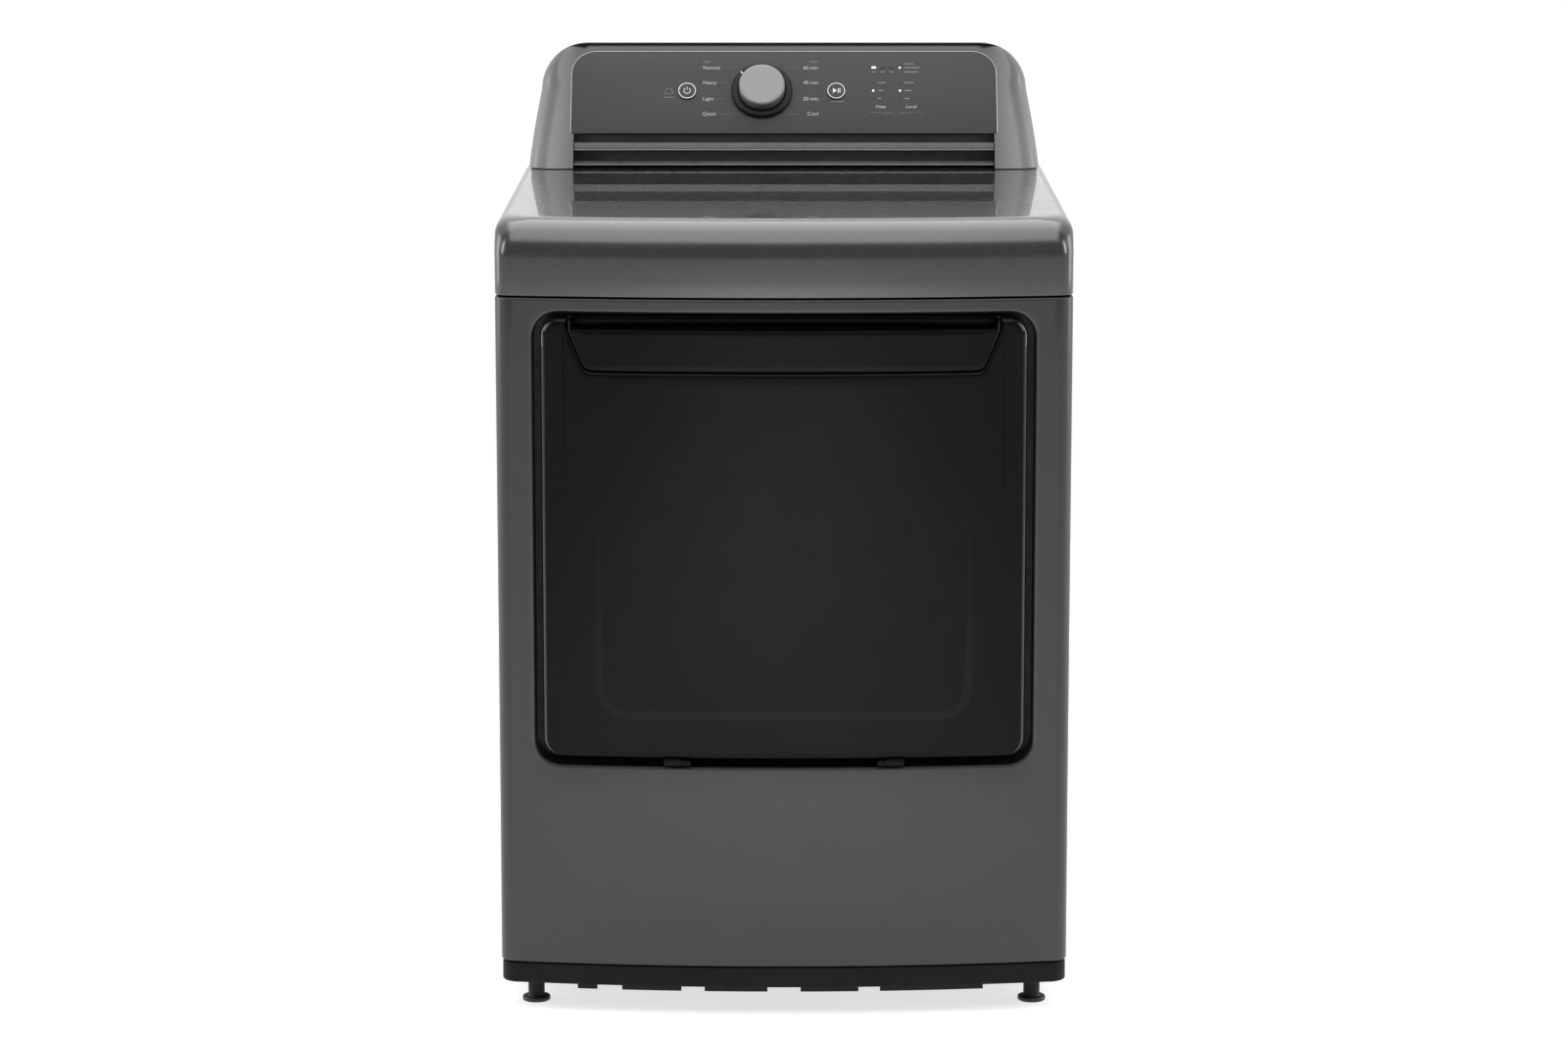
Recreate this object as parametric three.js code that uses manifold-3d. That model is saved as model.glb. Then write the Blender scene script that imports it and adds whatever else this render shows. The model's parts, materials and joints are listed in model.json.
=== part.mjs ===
// A free-standing clothes dryer: bowed front, drop-down door, control console leaning back.
// Millimetres, +Z up, the front faces -Y. The origin is the middle of the footprint, on the floor.
import * as THREE from 'three';
import { mergeVertices } from 'three/addons/utils/BufferGeometryUtils.js';
import Module from 'manifold-3d';

const wasm = await Module();
wasm.setup();

// ---- Cabinet ----
const WIDTH = 686;
const DEPTH = 733;             // door face to exhaust outlet
const DECK_Z = 964;            // work surface
const BOW = 28;                // the middle of the front stands this far ahead of its edges
const SHEET = 0.9;             // cabinet steel
const GAP = 0.3;               // between pieces that touch
const DOOR_PROUD = 8;          // door face ahead of the front panel
const PIPE_PROUD = 12;         // exhaust pipe past the rear panel
const CORNER = 20;             // upright front corners
const RETURN = 22;             // front panel's flanges along the sides
const FLANGE = 20;             // folded edges of the side panels
const BOW_STEPS = 14;          // facets across the bowed front
const DRUM_SIDES = 48;         // facets around the drum and what fits it
const HALF = WIDTH / 2;
const EDGE_Y = -DEPTH / 2 + BOW + DOOR_PROUD;
const REAR_Y = DEPTH / 2 - PIPE_PROUD;
const COVER_Z = DECK_Z - 90;   // lower edge of the top cover
const COVER = { sheet: 1.1, frontRoll: 45, sideRoll: 18 };

// ---- Base, skirt and feet ----
const PAN_Z = 36;              // underside of the base pan
const PANEL_Z = 62;            // lower edge of the front and side panels
const PAN = { sheet: 1.2, inset: 6, back: 5 };
const SKIRT = { low: 37, inset: 2 };
const TABS = [[-250, -226], [-196, -124], [-96, -20], [20, 90], [116, 241]];
const TAB = { height: 6, thick: 3 };
const FOOT = {
  x: HALF - 40, frontInset: 50, rearInset: 60, rise: 18,
  stem: 10.2, flange: 17, thick: 6, nut: 15, nutHeight: 5,
};
const EAR = { radius: 15, height: 6, out: 20 };

// ---- Door, its opening and the loading port ----
const OPENING = { half: HALF - 45.4, low: 309, high: COVER_Z - 18.5, corner: 30 };
const DOOR_GAP = { side: 9.3, low: 11, high: 6.1 };
const DOOR = {
  half: OPENING.half - DOOR_GAP.side,
  low: OPENING.low + DOOR_GAP.low,
  high: OPENING.high - DOOR_GAP.high,
  corner: OPENING.corner - 8, skin: 3, skirtDepth: 10, trayDepth: 12,
};
const HANDLE = {
  topHalf: OPENING.half - 42.6, lowHalf: OPENING.half - 62.6,
  height: 48, drop: 13.4, floor: 3, corner: 10, seam: 0.4,
};
const TRAY_BACK = EDGE_Y + DOOR.skirtDepth + GAP + DOOR.trayDepth;
const WELL_Y = TRAY_BACK + 7.7; // pan behind the door
const WELL_MARGIN = 15;
const LINER = { margin: 18, thick: 2.7 };
const GASKET = { inner: 2, outer: 12 };
const LATCH = {
  z: OPENING.high - 47.5, half: 20, height: 36, depth: 18, wall: 3,
  slotHalf: 12, slotHeight: 22,
};
const STRIKE = { half: 8, height: 10, reach: 12 };
const HINGE = {
  behindFace: 7, below: 5.5, knuckle: 3.2, pin: 1.5, x: 112,
  bracket: 9, arm: 22, strap: 2.4, lift: 42,
};

// ---- Drum and its supports ----
const BULKHEAD = {
  half: HALF - FLANGE - 3, low: 180, high: DECK_Z - 64,
  front: WELL_Y + 38, rear: REAR_Y - 67, reach: 20, ringInset: 12,
};
const DRUM = {
  radius: 315, wall: 1, z: 560,
  front: BULKHEAD.front + 17, rear: BULKHEAD.rear - 18,
};
const RING = DRUM.radius - BULKHEAD.ringInset;
const PORT = { half: DRUM.radius - 100, low: DRUM.z - 175, high: DRUM.z + 200, corner: 60, wall: 2 };
const BAFFLES = { count: 3, height: 78, foot: 46, crest: 22, inset: 30 };
const FELT = { width: 8, length: 16 };
const ROLLER = { radius: 38, width: 22, fromRear: 8, spread: 35, shaft: 6, clearance: 0.5 };
const BELT = { thick: 2, width: 10, y: 90, clearance: 1 };
const REAR_VENTS = { rows: 3, columns: 4, radius: 10, pitch: 40, left: 75 };

// ---- Motor, blower and exhaust ----
const PULLEY = { radius: 12, flange: 16, edge: 2 };
const MOTOR = {
  x: 90, z: 158, radius: 58, bore: 40, core: 22, length: 110,
  shaft: 7, plate: 3, halfMount: 50, margin: 0.5,
};
MOTOR.rear = BELT.y - BELT.width / 2 - 25;
MOTOR.front = MOTOR.rear - MOTOR.length;
const IDLER = { radius: 22, width: 16, along: 90, pin: 5, arm: 4, stud: 6, boss: 13, clear: 2 };
IDLER.pivotX = MOTOR.x + 140;
IDLER.pivotZ = MOTOR.z - 48;
const BLOWER = {
  radius: 90, front: BULKHEAD.front + 62.5, depth: 90, wall: 2.5,
  inlet: 55, wheel: 72, vanes: 12, hub: 14, clear: 12,
};
BLOWER.rear = BLOWER.front + BLOWER.depth;
const PIPE = { x: MOTOR.x - 140, z: MOTOR.z - 37, radius: 51, wall: 2 };
const FILTER = {
  half: PORT.half - 93, thick: 10, length: 190, y: (WELL_Y + BULKHEAD.front + 2) / 2, rim: 8,
  grip: 6, gripDepth: 18, bars: 7, bar: 2, screen: 1.2,
};
const CHUTE = { wall: 2, room: 3, waist: PORT.low - 198, low: MOTOR.z - 66, past: 12, joint: PORT.low - 165 };
const HEATER = { left: 40, right: 240, low: 200, high: 700, depth: 54 };
const TERMINAL = { x: 93 - HALF, z: 800, half: 30, height: 50, block: 24, cover: 9, margin: 8, entry: 10 };

// ---- Console ----
const CONSOLE = {
  half: HALF - 10, upperHalf: HALF - 24, top: DECK_Z + 157,
  corner: 30, topCorner: 60, wall: 2.5, rear: DEPTH / 2 - 4, backCover: 2,
};
const FACE = {
  footY: DEPTH / 2 - 112, tilt: THREE.MathUtils.degToRad(33),
  low: 53, high: 174, half: HALF - 64, corner: 32, thick: 3,
};
const LOUVER = { half: HALF - 68.5, wall: 3, back: 46 };
const SLATS = [                // heights above the deck, and how far each reaches forwards
  { low: 22, high: 33, reach: 20 },
  { low: 3.8, high: 8, reach: 32 },
];
const CONTROLS_UP = 115;       // height of knob and buttons along the leaning face
const KNOB = { x: -29, ring: 40, ringHeight: 6, cap: 30, capWall: 2.5, height: 20, stem: 3, stemLength: 16 };
const BUTTON = { power: -127, start: 68.5, radius: 12.2, proud: 2, depth: 8, clearance: 0.4 };
const BOARD = { half: 200, low: 62, high: 145, behind: 20, thick: 2 };

const group = new THREE.Group();

// ---- Finishes ----
const finishes = {
  paint: [0x4a4b4d, 0.42, 0.6],
  galvanised: [0xa8abad, 0.45, 0.9],
  blackGloss: [0x141416, 0.12, 0.1],
  blackPlastic: [0x1b1b1c, 0.6, 0],
  greyPlastic: [0x77797b, 0.55, 0],
  silver: [0xb4b6b8, 0.3, 0.8],
  faceGrey: [0x585a5c, 0.4, 0.5],
  steel: [0xc3c6c8, 0.3, 1],
  white: [0xe6e6e2, 0.5, 0],
  rubber: [0x191919, 0.9, 0],
  felt: [0x8f8c84, 1, 0],
  board: [0x2d5a3a, 0.7, 0],
};

// ---- From three.js geometry to solids and back ----
function solid(geometry) {
  const bare = geometry.clone();
  bare.deleteAttribute('normal');
  bare.deleteAttribute('uv');
  const merged = mergeVertices(bare, 1e-4);
  const mesh = new wasm.Mesh({
    numProp: 3,
    vertProperties: merged.attributes.position.array,
    triVerts: new Uint32Array(merged.index.array),
  });
  return new wasm.Manifold(mesh);
}

function add(name, finish, body) {
  const mesh = body.getMesh();
  const geometry = new THREE.BufferGeometry();
  geometry.setAttribute('position', new THREE.BufferAttribute(new Float32Array(mesh.vertProperties), 3));
  geometry.setIndex(new THREE.BufferAttribute(new Uint32Array(mesh.triVerts), 1));
  geometry.computeVertexNormals();
  const [color, roughness, metalness] = finishes[finish];
  const node = new THREE.Mesh(geometry, new THREE.MeshStandardMaterial({ color, roughness, metalness }));
  node.name = name;
  group.add(node);
}

// ---- Basic solids ----
function box(x0, x1, y0, y1, z0, z1) {
  const geometry = new THREE.BoxGeometry(x1 - x0, y1 - y0, z1 - z0);
  return solid(geometry.translate((x0 + x1) / 2, (y0 + y1) / 2, (z0 + z1) / 2));
}

// A cylinder along Y around (x, z).
function disc(radius, y0, y1, x, z, sides = 32) {
  const geometry = new THREE.CylinderGeometry(radius, radius, y1 - y0, sides);
  return solid(geometry.translate(x, (y0 + y1) / 2, z));
}

// A cylinder along Z around (x, y).
function post(radius, z0, z1, x, y, sides = 24) {
  const geometry = new THREE.CylinderGeometry(radius, radius, z1 - z0, sides);
  return solid(geometry.rotateX(Math.PI / 2).translate(x, y, (z0 + z1) / 2));
}

// A cylinder along X around (y, z).
function rod(radius, x0, x1, y, z, sides = 16) {
  const geometry = new THREE.CylinderGeometry(radius, radius, x1 - x0, sides);
  return solid(geometry.rotateZ(Math.PI / 2).translate((x0 + x1) / 2, y, z));
}

function extrude(points, length) {
  const shape = new THREE.Shape(points.map(([a, b]) => new THREE.Vector2(a, b)));
  return new THREE.ExtrudeGeometry(shape, { depth: length, bevelEnabled: false });
}

// An outline of [x, y] points raised from z0 to z1.
function raise(points, z0, z1) {
  return solid(extrude(points, z1 - z0).translate(0, 0, z0));
}

// An outline of [x, z] points carried from y0 back to y1.
function carry(points, y0, y1) {
  return solid(extrude(points, y1 - y0).rotateX(Math.PI / 2).translate(0, y1, 0));
}

// A rounded rectangle as [x, z] points.
function roundedRect(half, low, high, corner, steps = 7) {
  const points = [];
  const centres = [[half - corner, low + corner, -90], [half - corner, high - corner, 0],
    [corner - half, high - corner, 90], [corner - half, low + corner, 180]];
  for (const [x, z, start] of centres) {
    for (let i = 0; i <= steps; i += 1) {
      const angle = THREE.MathUtils.degToRad(start + 90 * i / steps);
      points.push([x + corner * Math.cos(angle), z + corner * Math.sin(angle)]);
    }
  }
  return points;
}

// The same rectangle grown by a margin on every side.
function grownRect({ half, low, high, corner }, margin) {
  return roundedRect(half + margin, low - margin, high + margin, corner + margin);
}

// ---- The bowed front ----
function frontY(x, ahead = 0) {
  return EDGE_Y - BOW * (1 - (x / HALF) ** 2) - ahead;
}

// Plan outline with a front that may bow, and rounded front corners; anticlockwise from the left.
function planOutline({ half, front, rear, bow, corner }, steps = BOW_STEPS) {
  const points = [];
  const span = half - corner;
  const edge = (x) => front - bow * (1 - (x / half) ** 2);
  const cornerSteps = 4;
  for (let i = 0; i < cornerSteps; i += 1) {
    const angle = Math.PI * (1 + 0.5 * i / cornerSteps);
    points.push([-span + corner * Math.cos(angle), edge(span) + corner + corner * Math.sin(angle)]);
  }
  for (let i = 0; i <= steps; i += 1) {
    const x = span * (2 * i / steps - 1);
    points.push([x, edge(x)]);
  }
  for (let i = cornerSteps - 1; i >= 0; i -= 1) {
    const angle = Math.PI * (2 - 0.5 * i / cornerSteps);
    points.push([span + corner * Math.cos(angle), edge(span) + corner + corner * Math.sin(angle)]);
  }
  points.push([half, rear], [-half, rear]);
  return points;
}

// A block with the bowed front face, "ahead" of the front panel, and a flat back.
function bowedBlock(half, ahead, backY, z0, z1, steps = BOW_STEPS) {
  const points = [];
  for (let i = 0; i <= steps; i += 1) {
    const x = half * (2 * i / steps - 1);
    points.push([x, frontY(x, ahead)]);
  }
  points.push([half, backY], [-half, backY]);
  return raise(points, z0, z1);
}

// Level outlines, all with the same number of points, joined into one closed skin.
function loft(levels) {
  const count = levels[0].points.length;
  const positions = [];
  const indices = [];
  for (const { z, points } of levels) {
    for (const [x, y] of points) {
      positions.push(x, y, z);
    }
  }
  for (let level = 0; level < levels.length - 1; level += 1) {
    for (let i = 0; i < count; i += 1) {
      const a = level * count + i;
      const b = level * count + (i + 1) % count;
      indices.push(a, b, b + count, a, b + count, a + count);
    }
  }
  const last = (levels.length - 1) * count;
  const toVectors = (points) => points.map(([x, y]) => new THREE.Vector2(x, y));
  for (const [a, b, c] of THREE.ShapeUtils.triangulateShape(toVectors(levels[0].points), [])) {
    indices.push(a, c, b);
  }
  for (const [a, b, c] of THREE.ShapeUtils.triangulateShape(toVectors(levels.at(-1).points), [])) {
    indices.push(last + a, last + b, last + c);
  }
  const geometry = new THREE.BufferGeometry();
  geometry.setAttribute('position', new THREE.Float32BufferAttribute(positions, 3));
  geometry.setIndex(indices);
  return solid(geometry);
}

// How far a rolled edge of the given radius has come in at height z, below a top at "top".
function rollIn(z, top, radius) {
  const up = Math.max(0, z - (top - radius));
  return radius - Math.sqrt(Math.max(0, radius ** 2 - up ** 2));
}

// ---- Base, skirt and feet ----
function footPlaces() {
  const front = EDGE_Y + FOOT.frontInset;
  const rear = REAR_Y - FOOT.rearInset;
  return {
    front_left: [-FOOT.x, front],
    front_right: [FOOT.x, front],
    rear_left: [-FOOT.x, rear],
    rear_right: [FOOT.x, rear],
  };
}

function basePan() {
  const outline = (inset) => planOutline({
    half: HALF - PAN.inset - inset, front: EDGE_Y + PAN.back + inset,
    rear: REAR_Y - PAN.back - inset, bow: BOW, corner: CORNER });
  let pan = raise(outline(0), PAN_Z, PANEL_Z - GAP)
    .subtract(raise(outline(PAN.sheet), PAN_Z + PAN.sheet, PANEL_Z));
  for (const [left, right] of TABS) {
    const tab = raise(outline(0), PAN_Z - TAB.height, PAN_Z + PAN.sheet / 2)
      .subtract(raise(outline(TAB.thick), PAN_Z - 2 * TAB.height, PANEL_Z));
    pan = pan.add(tab.intersect(box(left, right, -DEPTH, 0, 0, PANEL_Z)));
  }
  for (const [x, y] of Object.values(footPlaces())) {
    const out = Math.sign(x) * EAR.out;
    pan = pan.add(post(EAR.radius, PAN_Z - EAR.height, PAN_Z + PAN.sheet / 2, x + out, y));
  }
  for (const [x, y] of Object.values(footPlaces())) {
    pan = pan.subtract(post(FOOT.stem + GAP, 0, PANEL_Z, x, y));
  }
  add('base_pan', 'galvanised', pan);
}

function toeSkirt() {
  const outline = (inset) => planOutline({
    half: HALF - SKIRT.inset - inset, front: EDGE_Y + SKIRT.inset + inset,
    rear: EDGE_Y + CORNER + RETURN + 2 * inset, bow: BOW, corner: CORNER });
  const skirt = raise(outline(0), SKIRT.low, PANEL_Z - GAP).subtract(raise(outline(SHEET), 0, PANEL_Z));
  add('toe_skirt', 'paint', skirt);
}

function feet() {
  for (const [name, [x, y]] of Object.entries(footPlaces())) {
    const nutTop = PAN_Z - EAR.height - GAP;
    const foot = post(FOOT.flange, 0, FOOT.thick, x, y, 28)
      .add(post(FOOT.stem, FOOT.thick / 2, PAN_Z + FOOT.rise, x, y))
      .add(post(FOOT.nut, nutTop - FOOT.nutHeight, nutTop, x, y, 6));
    add(`foot_${name}`, 'blackPlastic', foot);
  }
}

// ---- Cabinet panels ----
function frontPanel() {
  const outline = (inset) => planOutline({
    half: HALF - inset, front: EDGE_Y + inset,
    rear: EDGE_Y + CORNER + RETURN + 2 * inset, bow: BOW, corner: CORNER - inset });
  const top = COVER_Z - GAP;
  const skin = raise(outline(0), PANEL_Z, top).subtract(raise(outline(SHEET), PANEL_Z - 1, COVER_Z));
  const hole = carry(grownRect(OPENING, 0), -DEPTH, 0);
  const rim = carry(grownRect(OPENING, SHEET), -DEPTH, WELL_Y - GAP)
    .intersect(bowedBlock(HALF - CORNER, -SHEET / 2, WELL_Y, 0, COVER_Z));
  add('front_panel', 'paint', skin.add(rim).subtract(hole));
}

function sidePanels() {
  const front = EDGE_Y + CORNER + RETURN + GAP;
  const rear = REAR_Y - SHEET - GAP;
  const top = COVER_Z - GAP;
  for (const [name, side] of [['left', -1], ['right', 1]]) {
    const xs = (a, b) => [side * a, side * b].sort((p, q) => p - q);
    const outer = box(...xs(HALF - FLANGE, HALF), front, rear, PANEL_Z, top);
    const inner = box(...xs(0, HALF - SHEET), front + SHEET, rear - SHEET, PANEL_Z + SHEET, top - SHEET);
    add(`${name}_side_panel`, 'paint', outer.subtract(inner));
  }
}

function rearPanel() {
  const panel = box(-HALF, HALF, REAR_Y - SHEET, REAR_Y, PANEL_Z, COVER_Z - GAP)
    .subtract(disc(PIPE.radius + 1, 0, DEPTH, PIPE.x, PIPE.z, 40))
    .subtract(box(TERMINAL.x - TERMINAL.half, TERMINAL.x + TERMINAL.half, 0, DEPTH,
      TERMINAL.z - TERMINAL.height / 2, TERMINAL.z + TERMINAL.height / 2));
  add('rear_panel', 'galvanised', panel);
}

function coverBody(inset, low) {
  const heights = [low, DECK_Z - COVER.frontRoll - inset];
  const rollSteps = 5;
  for (let i = 1; i <= rollSteps; i += 1) {
    const angle = Math.PI / 2 * i / rollSteps;
    heights.push(DECK_Z - inset - COVER.frontRoll * (1 - Math.sin(angle)));
  }
  const outline = (z) => {
    const sideIn = rollIn(z + inset, DECK_Z, COVER.sideRoll);
    const frontIn = rollIn(z + inset, DECK_Z, COVER.frontRoll);
    const rear = inset > 0 ? REAR_Y - inset : REAR_Y;
    return planOutline({
      half: HALF - sideIn - inset, front: EDGE_Y + frontIn + inset, rear, bow: BOW, corner: CORNER });
  };
  return loft(heights.map((z) => ({ z, points: outline(z) })));
}

function topCover() {
  add('top_cover', 'paint', coverBody(0, COVER_Z).subtract(coverBody(COVER.sheet, COVER_Z - 10)));
}

// ---- The pan behind the door, around the loading port ----
function doorWell() {
  const well = carry(grownRect(OPENING, WELL_MARGIN), WELL_Y, WELL_Y + SHEET)
    .subtract(carry(grownRect(PORT, PORT.wall + GAP), -DEPTH, 0))
    .subtract(box(-LATCH.slotHalf, LATCH.slotHalf, -DEPTH, 0,
      LATCH.z - LATCH.slotHeight / 2, LATCH.z + LATCH.slotHeight / 2));
  add('door_well', 'blackPlastic', well);
}

// The sleeve that lines the loading port, with the lint filter's slot in its sill.
function portSleeve() {
  const slotHalf = FILTER.half + 2;
  const slotDeep = FILTER.thick / 2 + 1;
  const sleeve = carry(grownRect(PORT, PORT.wall), WELL_Y, BULKHEAD.front - GAP)
    .subtract(carry(grownRect(PORT, 0), -DEPTH, 0))
    .subtract(box(-slotHalf, slotHalf, FILTER.y - slotDeep, FILTER.y + slotDeep,
      PORT.low - 2 * PORT.wall, PORT.low + 1));
  add('port_sleeve', 'blackPlastic', sleeve);
}

function doorLatch() {
  const front = WELL_Y + SHEET + GAP;
  const low = LATCH.z - LATCH.height / 2;
  const latch = box(-LATCH.half, LATCH.half, front, front + LATCH.depth, low, low + LATCH.height)
    .subtract(box(-LATCH.slotHalf, LATCH.slotHalf, front - 1, front + LATCH.depth - LATCH.wall,
      LATCH.z - LATCH.slotHeight / 2, LATCH.z + LATCH.slotHeight / 2));
  add('door_latch', 'blackPlastic', latch);
}

// ---- Door ----
function handleOutline(grow) {
  const top = DOOR.high - HANDLE.drop;
  const low = top - HANDLE.height - grow;
  const lowHalf = HANDLE.lowHalf + grow;
  const points = [];
  const steps = 5;
  for (let i = 0; i <= steps; i += 1) {
    const angle = Math.PI / 2 * i / steps;
    const x = lowHalf - HANDLE.corner * (1 - Math.sin(angle));
    points.push([x, low + HANDLE.corner * (1 - Math.cos(angle))]);
  }
  points.push([HANDLE.topHalf + grow, top]);
  const mirrored = points.map(([x, z]) => [-x, z]).reverse();
  return [...points, ...mirrored];
}

function doorOuter() {
  const back = EDGE_Y + DOOR.skirtDepth;
  const notchFloor = DOOR.high - HANDLE.drop;
  const shell = bowedBlock(DOOR.half, DOOR_PROUD, back, 0, DECK_Z)
    .intersect(carry(grownRect(DOOR, 0), -DEPTH, 0));
  const hollow = bowedBlock(DOOR.half, DOOR_PROUD - DOOR.skin, back + 1, 0, DECK_Z)
    .intersect(carry(grownRect(DOOR, -DOOR.skin), -DEPTH, 0));
  const notchHalf = HANDLE.topHalf + HANDLE.seam;
  const notch = box(-notchHalf, notchHalf, -DEPTH, 0, notchFloor - GAP, DECK_Z);
  const window = carry(handleOutline(HANDLE.seam), -DEPTH, 0);
  add('door_outer_panel', 'blackGloss', shell.subtract(hollow).subtract(notch).subtract(window));
}

// The grip: a face plate, the floor of the finger gap above it and the wall behind the fingers.
function doorHandle() {
  const notchFloor = DOOR.high - HANDLE.drop;
  const back = EDGE_Y + DOOR.skirtDepth - GAP;
  const half = HANDLE.topHalf;
  const plate = bowedBlock(half, DOOR_PROUD, back, 0, notchFloor)
    .subtract(bowedBlock(half, DOOR_PROUD - DOOR.skin, back + 1, 0, notchFloor + 1))
    .intersect(carry(handleOutline(0), -DEPTH, 0));
  const floor = bowedBlock(half, DOOR_PROUD, back, notchFloor - HANDLE.floor, notchFloor)
    .intersect(carry(handleOutline(0), -DEPTH, 0));
  const wall = box(-half, half, back - HANDLE.floor, back, notchFloor - HANDLE.floor, DOOR.high)
    .intersect(box(-half + HANDLE.floor, half - HANDLE.floor, -DEPTH, 0, 0, DECK_Z));
  add('door_handle', 'blackGloss', plate.add(floor).add(wall));
}

function doorInner() {
  const back = TRAY_BACK;
  const front = back - DOOR.trayDepth;
  const tray = carry(grownRect(DOOR, -1), front, back)
    .subtract(carry(grownRect(DOOR, -1 - SHEET), front - 1, back - SHEET));
  add('door_inner_frame', 'paint', tray);

  const liner = carry(grownRect(PORT, LINER.margin), back + GAP, back + GAP + LINER.thick)
    .subtract(carry(grownRect(PORT, -LINER.margin), back, back + LINER.thick / 2));
  add('door_liner', 'greyPlastic', liner);

  const gasketFront = back + GAP + LINER.thick + GAP;
  const gasket = carry(grownRect(PORT, GASKET.outer), gasketFront, WELL_Y - GAP)
    .subtract(carry(grownRect(PORT, GASKET.inner), -DEPTH, 0));
  add('door_gasket', 'rubber', gasket);

  const strike = box(-STRIKE.half, STRIKE.half, back + GAP, WELL_Y + STRIKE.reach,
    LATCH.z - STRIKE.height / 2, LATCH.z + STRIKE.height / 2);
  add('door_strike', 'steel', strike);
}

function hingeAxis() {
  return { y: frontY(0, DOOR_PROUD) + HINGE.behindFace, z: DOOR.low - HINGE.below };
}

function doorHinges() {
  const axis = hingeAxis();
  for (const [name, side] of [['left', -1], ['right', 1]]) {
    const xs = (a, b) => [side * a, side * b].sort((p, q) => p - q);
    const split = HINGE.x + HINGE.bracket;
    const armStart = split + 2 * GAP;
    const armEnd = armStart + HINGE.arm;
    const bracket = rod(HINGE.knuckle, ...xs(HINGE.x, split), axis.y, axis.z)
      .add(rod(HINGE.pin, ...xs(HINGE.x, armEnd), axis.y, axis.z))
      .add(box(...xs(HINGE.x, split), axis.y, WELL_Y - GAP, axis.z - HINGE.strap, axis.z))
      .add(box(...xs(HINGE.x - HINGE.bracket, split), WELL_Y - GAP - SHEET, WELL_Y - GAP,
        axis.z - HINGE.strap, axis.z + HINGE.lift / 2));
    add(`hinge_bracket_${name}`, 'steel', bracket);

    const strapLow = axis.z + HINGE.pin + 2 * GAP;
    const arm = rod(HINGE.knuckle, ...xs(armStart, armEnd), axis.y, axis.z)
      .add(box(...xs(armStart, armEnd), axis.y, TRAY_BACK + GAP + SHEET, strapLow, strapLow + HINGE.strap))
      .add(box(...xs(armStart, armEnd), TRAY_BACK + GAP, TRAY_BACK + GAP + SHEET,
        strapLow, axis.z + HINGE.lift))
      .subtract(rod(HINGE.pin + GAP, ...xs(HINGE.x, armEnd + 1), axis.y, axis.z));
    add(`hinge_arm_${name}`, 'steel', arm);
  }
}

// ---- Bulkheads, drum and drum supports ----
function bulkheads() {
  const ringEnd = DRUM.front + BULKHEAD.reach;
  const inner = RING - SHEET;
  const front = box(-BULKHEAD.half, BULKHEAD.half, BULKHEAD.front, BULKHEAD.front + SHEET,
    PANEL_Z + 2, BULKHEAD.high)
    .add(disc(RING, BULKHEAD.front, ringEnd, 0, DRUM.z, DRUM_SIDES)
      .subtract(disc(inner, BULKHEAD.front + SHEET, ringEnd + 1, 0, DRUM.z, DRUM_SIDES)))
    .subtract(carry(grownRect(PORT, 0), -DEPTH, 0))
    .subtract(disc(BLOWER.inlet + CHUTE.wall + 3, -DEPTH, 0, MOTOR.x, MOTOR.z, 40));
  add('front_bulkhead', 'galvanised', front);

  const dishY = DRUM.rear - BULKHEAD.reach;
  let rear = box(-BULKHEAD.half, BULKHEAD.half, BULKHEAD.rear, BULKHEAD.rear + SHEET,
    BULKHEAD.low, BULKHEAD.high)
    .add(disc(RING, dishY, BULKHEAD.rear + SHEET / 2, 0, DRUM.z, DRUM_SIDES))
    .subtract(disc(inner, dishY + SHEET, BULKHEAD.rear + DEPTH, 0, DRUM.z, DRUM_SIDES));
  for (let row = 0; row < REAR_VENTS.rows; row += 1) {
    for (let column = 0; column < REAR_VENTS.columns; column += 1) {
      const x = REAR_VENTS.left + REAR_VENTS.pitch * column;
      rear = rear.subtract(disc(REAR_VENTS.radius, 0, DEPTH, x, DRUM.z + REAR_VENTS.pitch * (row - 1), 8));
    }
  }
  add('rear_bulkhead', 'galvanised', rear);

  const feltRing = (y0) => disc(RING + GAP + FELT.width, y0, y0 + FELT.length, 0, DRUM.z, DRUM_SIDES)
    .subtract(disc(RING + GAP, -DEPTH, DEPTH, 0, DRUM.z, DRUM_SIDES));
  add('front_felt_seal', 'felt', feltRing(DRUM.front - 1));
  add('rear_felt_seal', 'felt', feltRing(DRUM.rear + 1 - FELT.length));
}

function drumShell() {
  const { radius, wall, front, rear, z } = DRUM;
  const shell = disc(radius, front, rear, 0, z, DRUM_SIDES)
    .subtract(disc(radius - wall, front - 1, rear + 1, 0, z, DRUM_SIDES));
  add('drum_shell', 'steel', shell);
}

// A tall rounded rib along the drum, its foot against the drum wall.
function baffles() {
  const rim = DRUM.radius - DRUM.wall - GAP;
  const foot = Math.sqrt(rim ** 2 - BAFFLES.foot ** 2 / 4);
  const crest = rim - BAFFLES.height;
  const points = [[-BAFFLES.foot / 2, foot - 1]];
  const steps = 6;
  for (let i = 0; i <= steps; i += 1) {
    const angle = Math.PI * (1 - i / steps);
    points.push([BAFFLES.crest / 2 * Math.cos(angle), crest + BAFFLES.crest / 2 * (1 - Math.sin(angle))]);
  }
  points.push([BAFFLES.foot / 2, foot - 1]);
  for (let i = 0; i < BAFFLES.count; i += 1) {
    const turn = 2 * Math.PI * i / BAFFLES.count;
    const length = [DRUM.front + BAFFLES.inset, DRUM.rear - BAFFLES.inset];
    const geometry = extrude(points, length[1] - length[0]).rotateX(Math.PI / 2).translate(0, length[1], 0);
    add(`drum_baffle_${i + 1}`, 'white', solid(geometry.rotateY(turn).translate(0, 0, DRUM.z)));
  }
}

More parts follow.
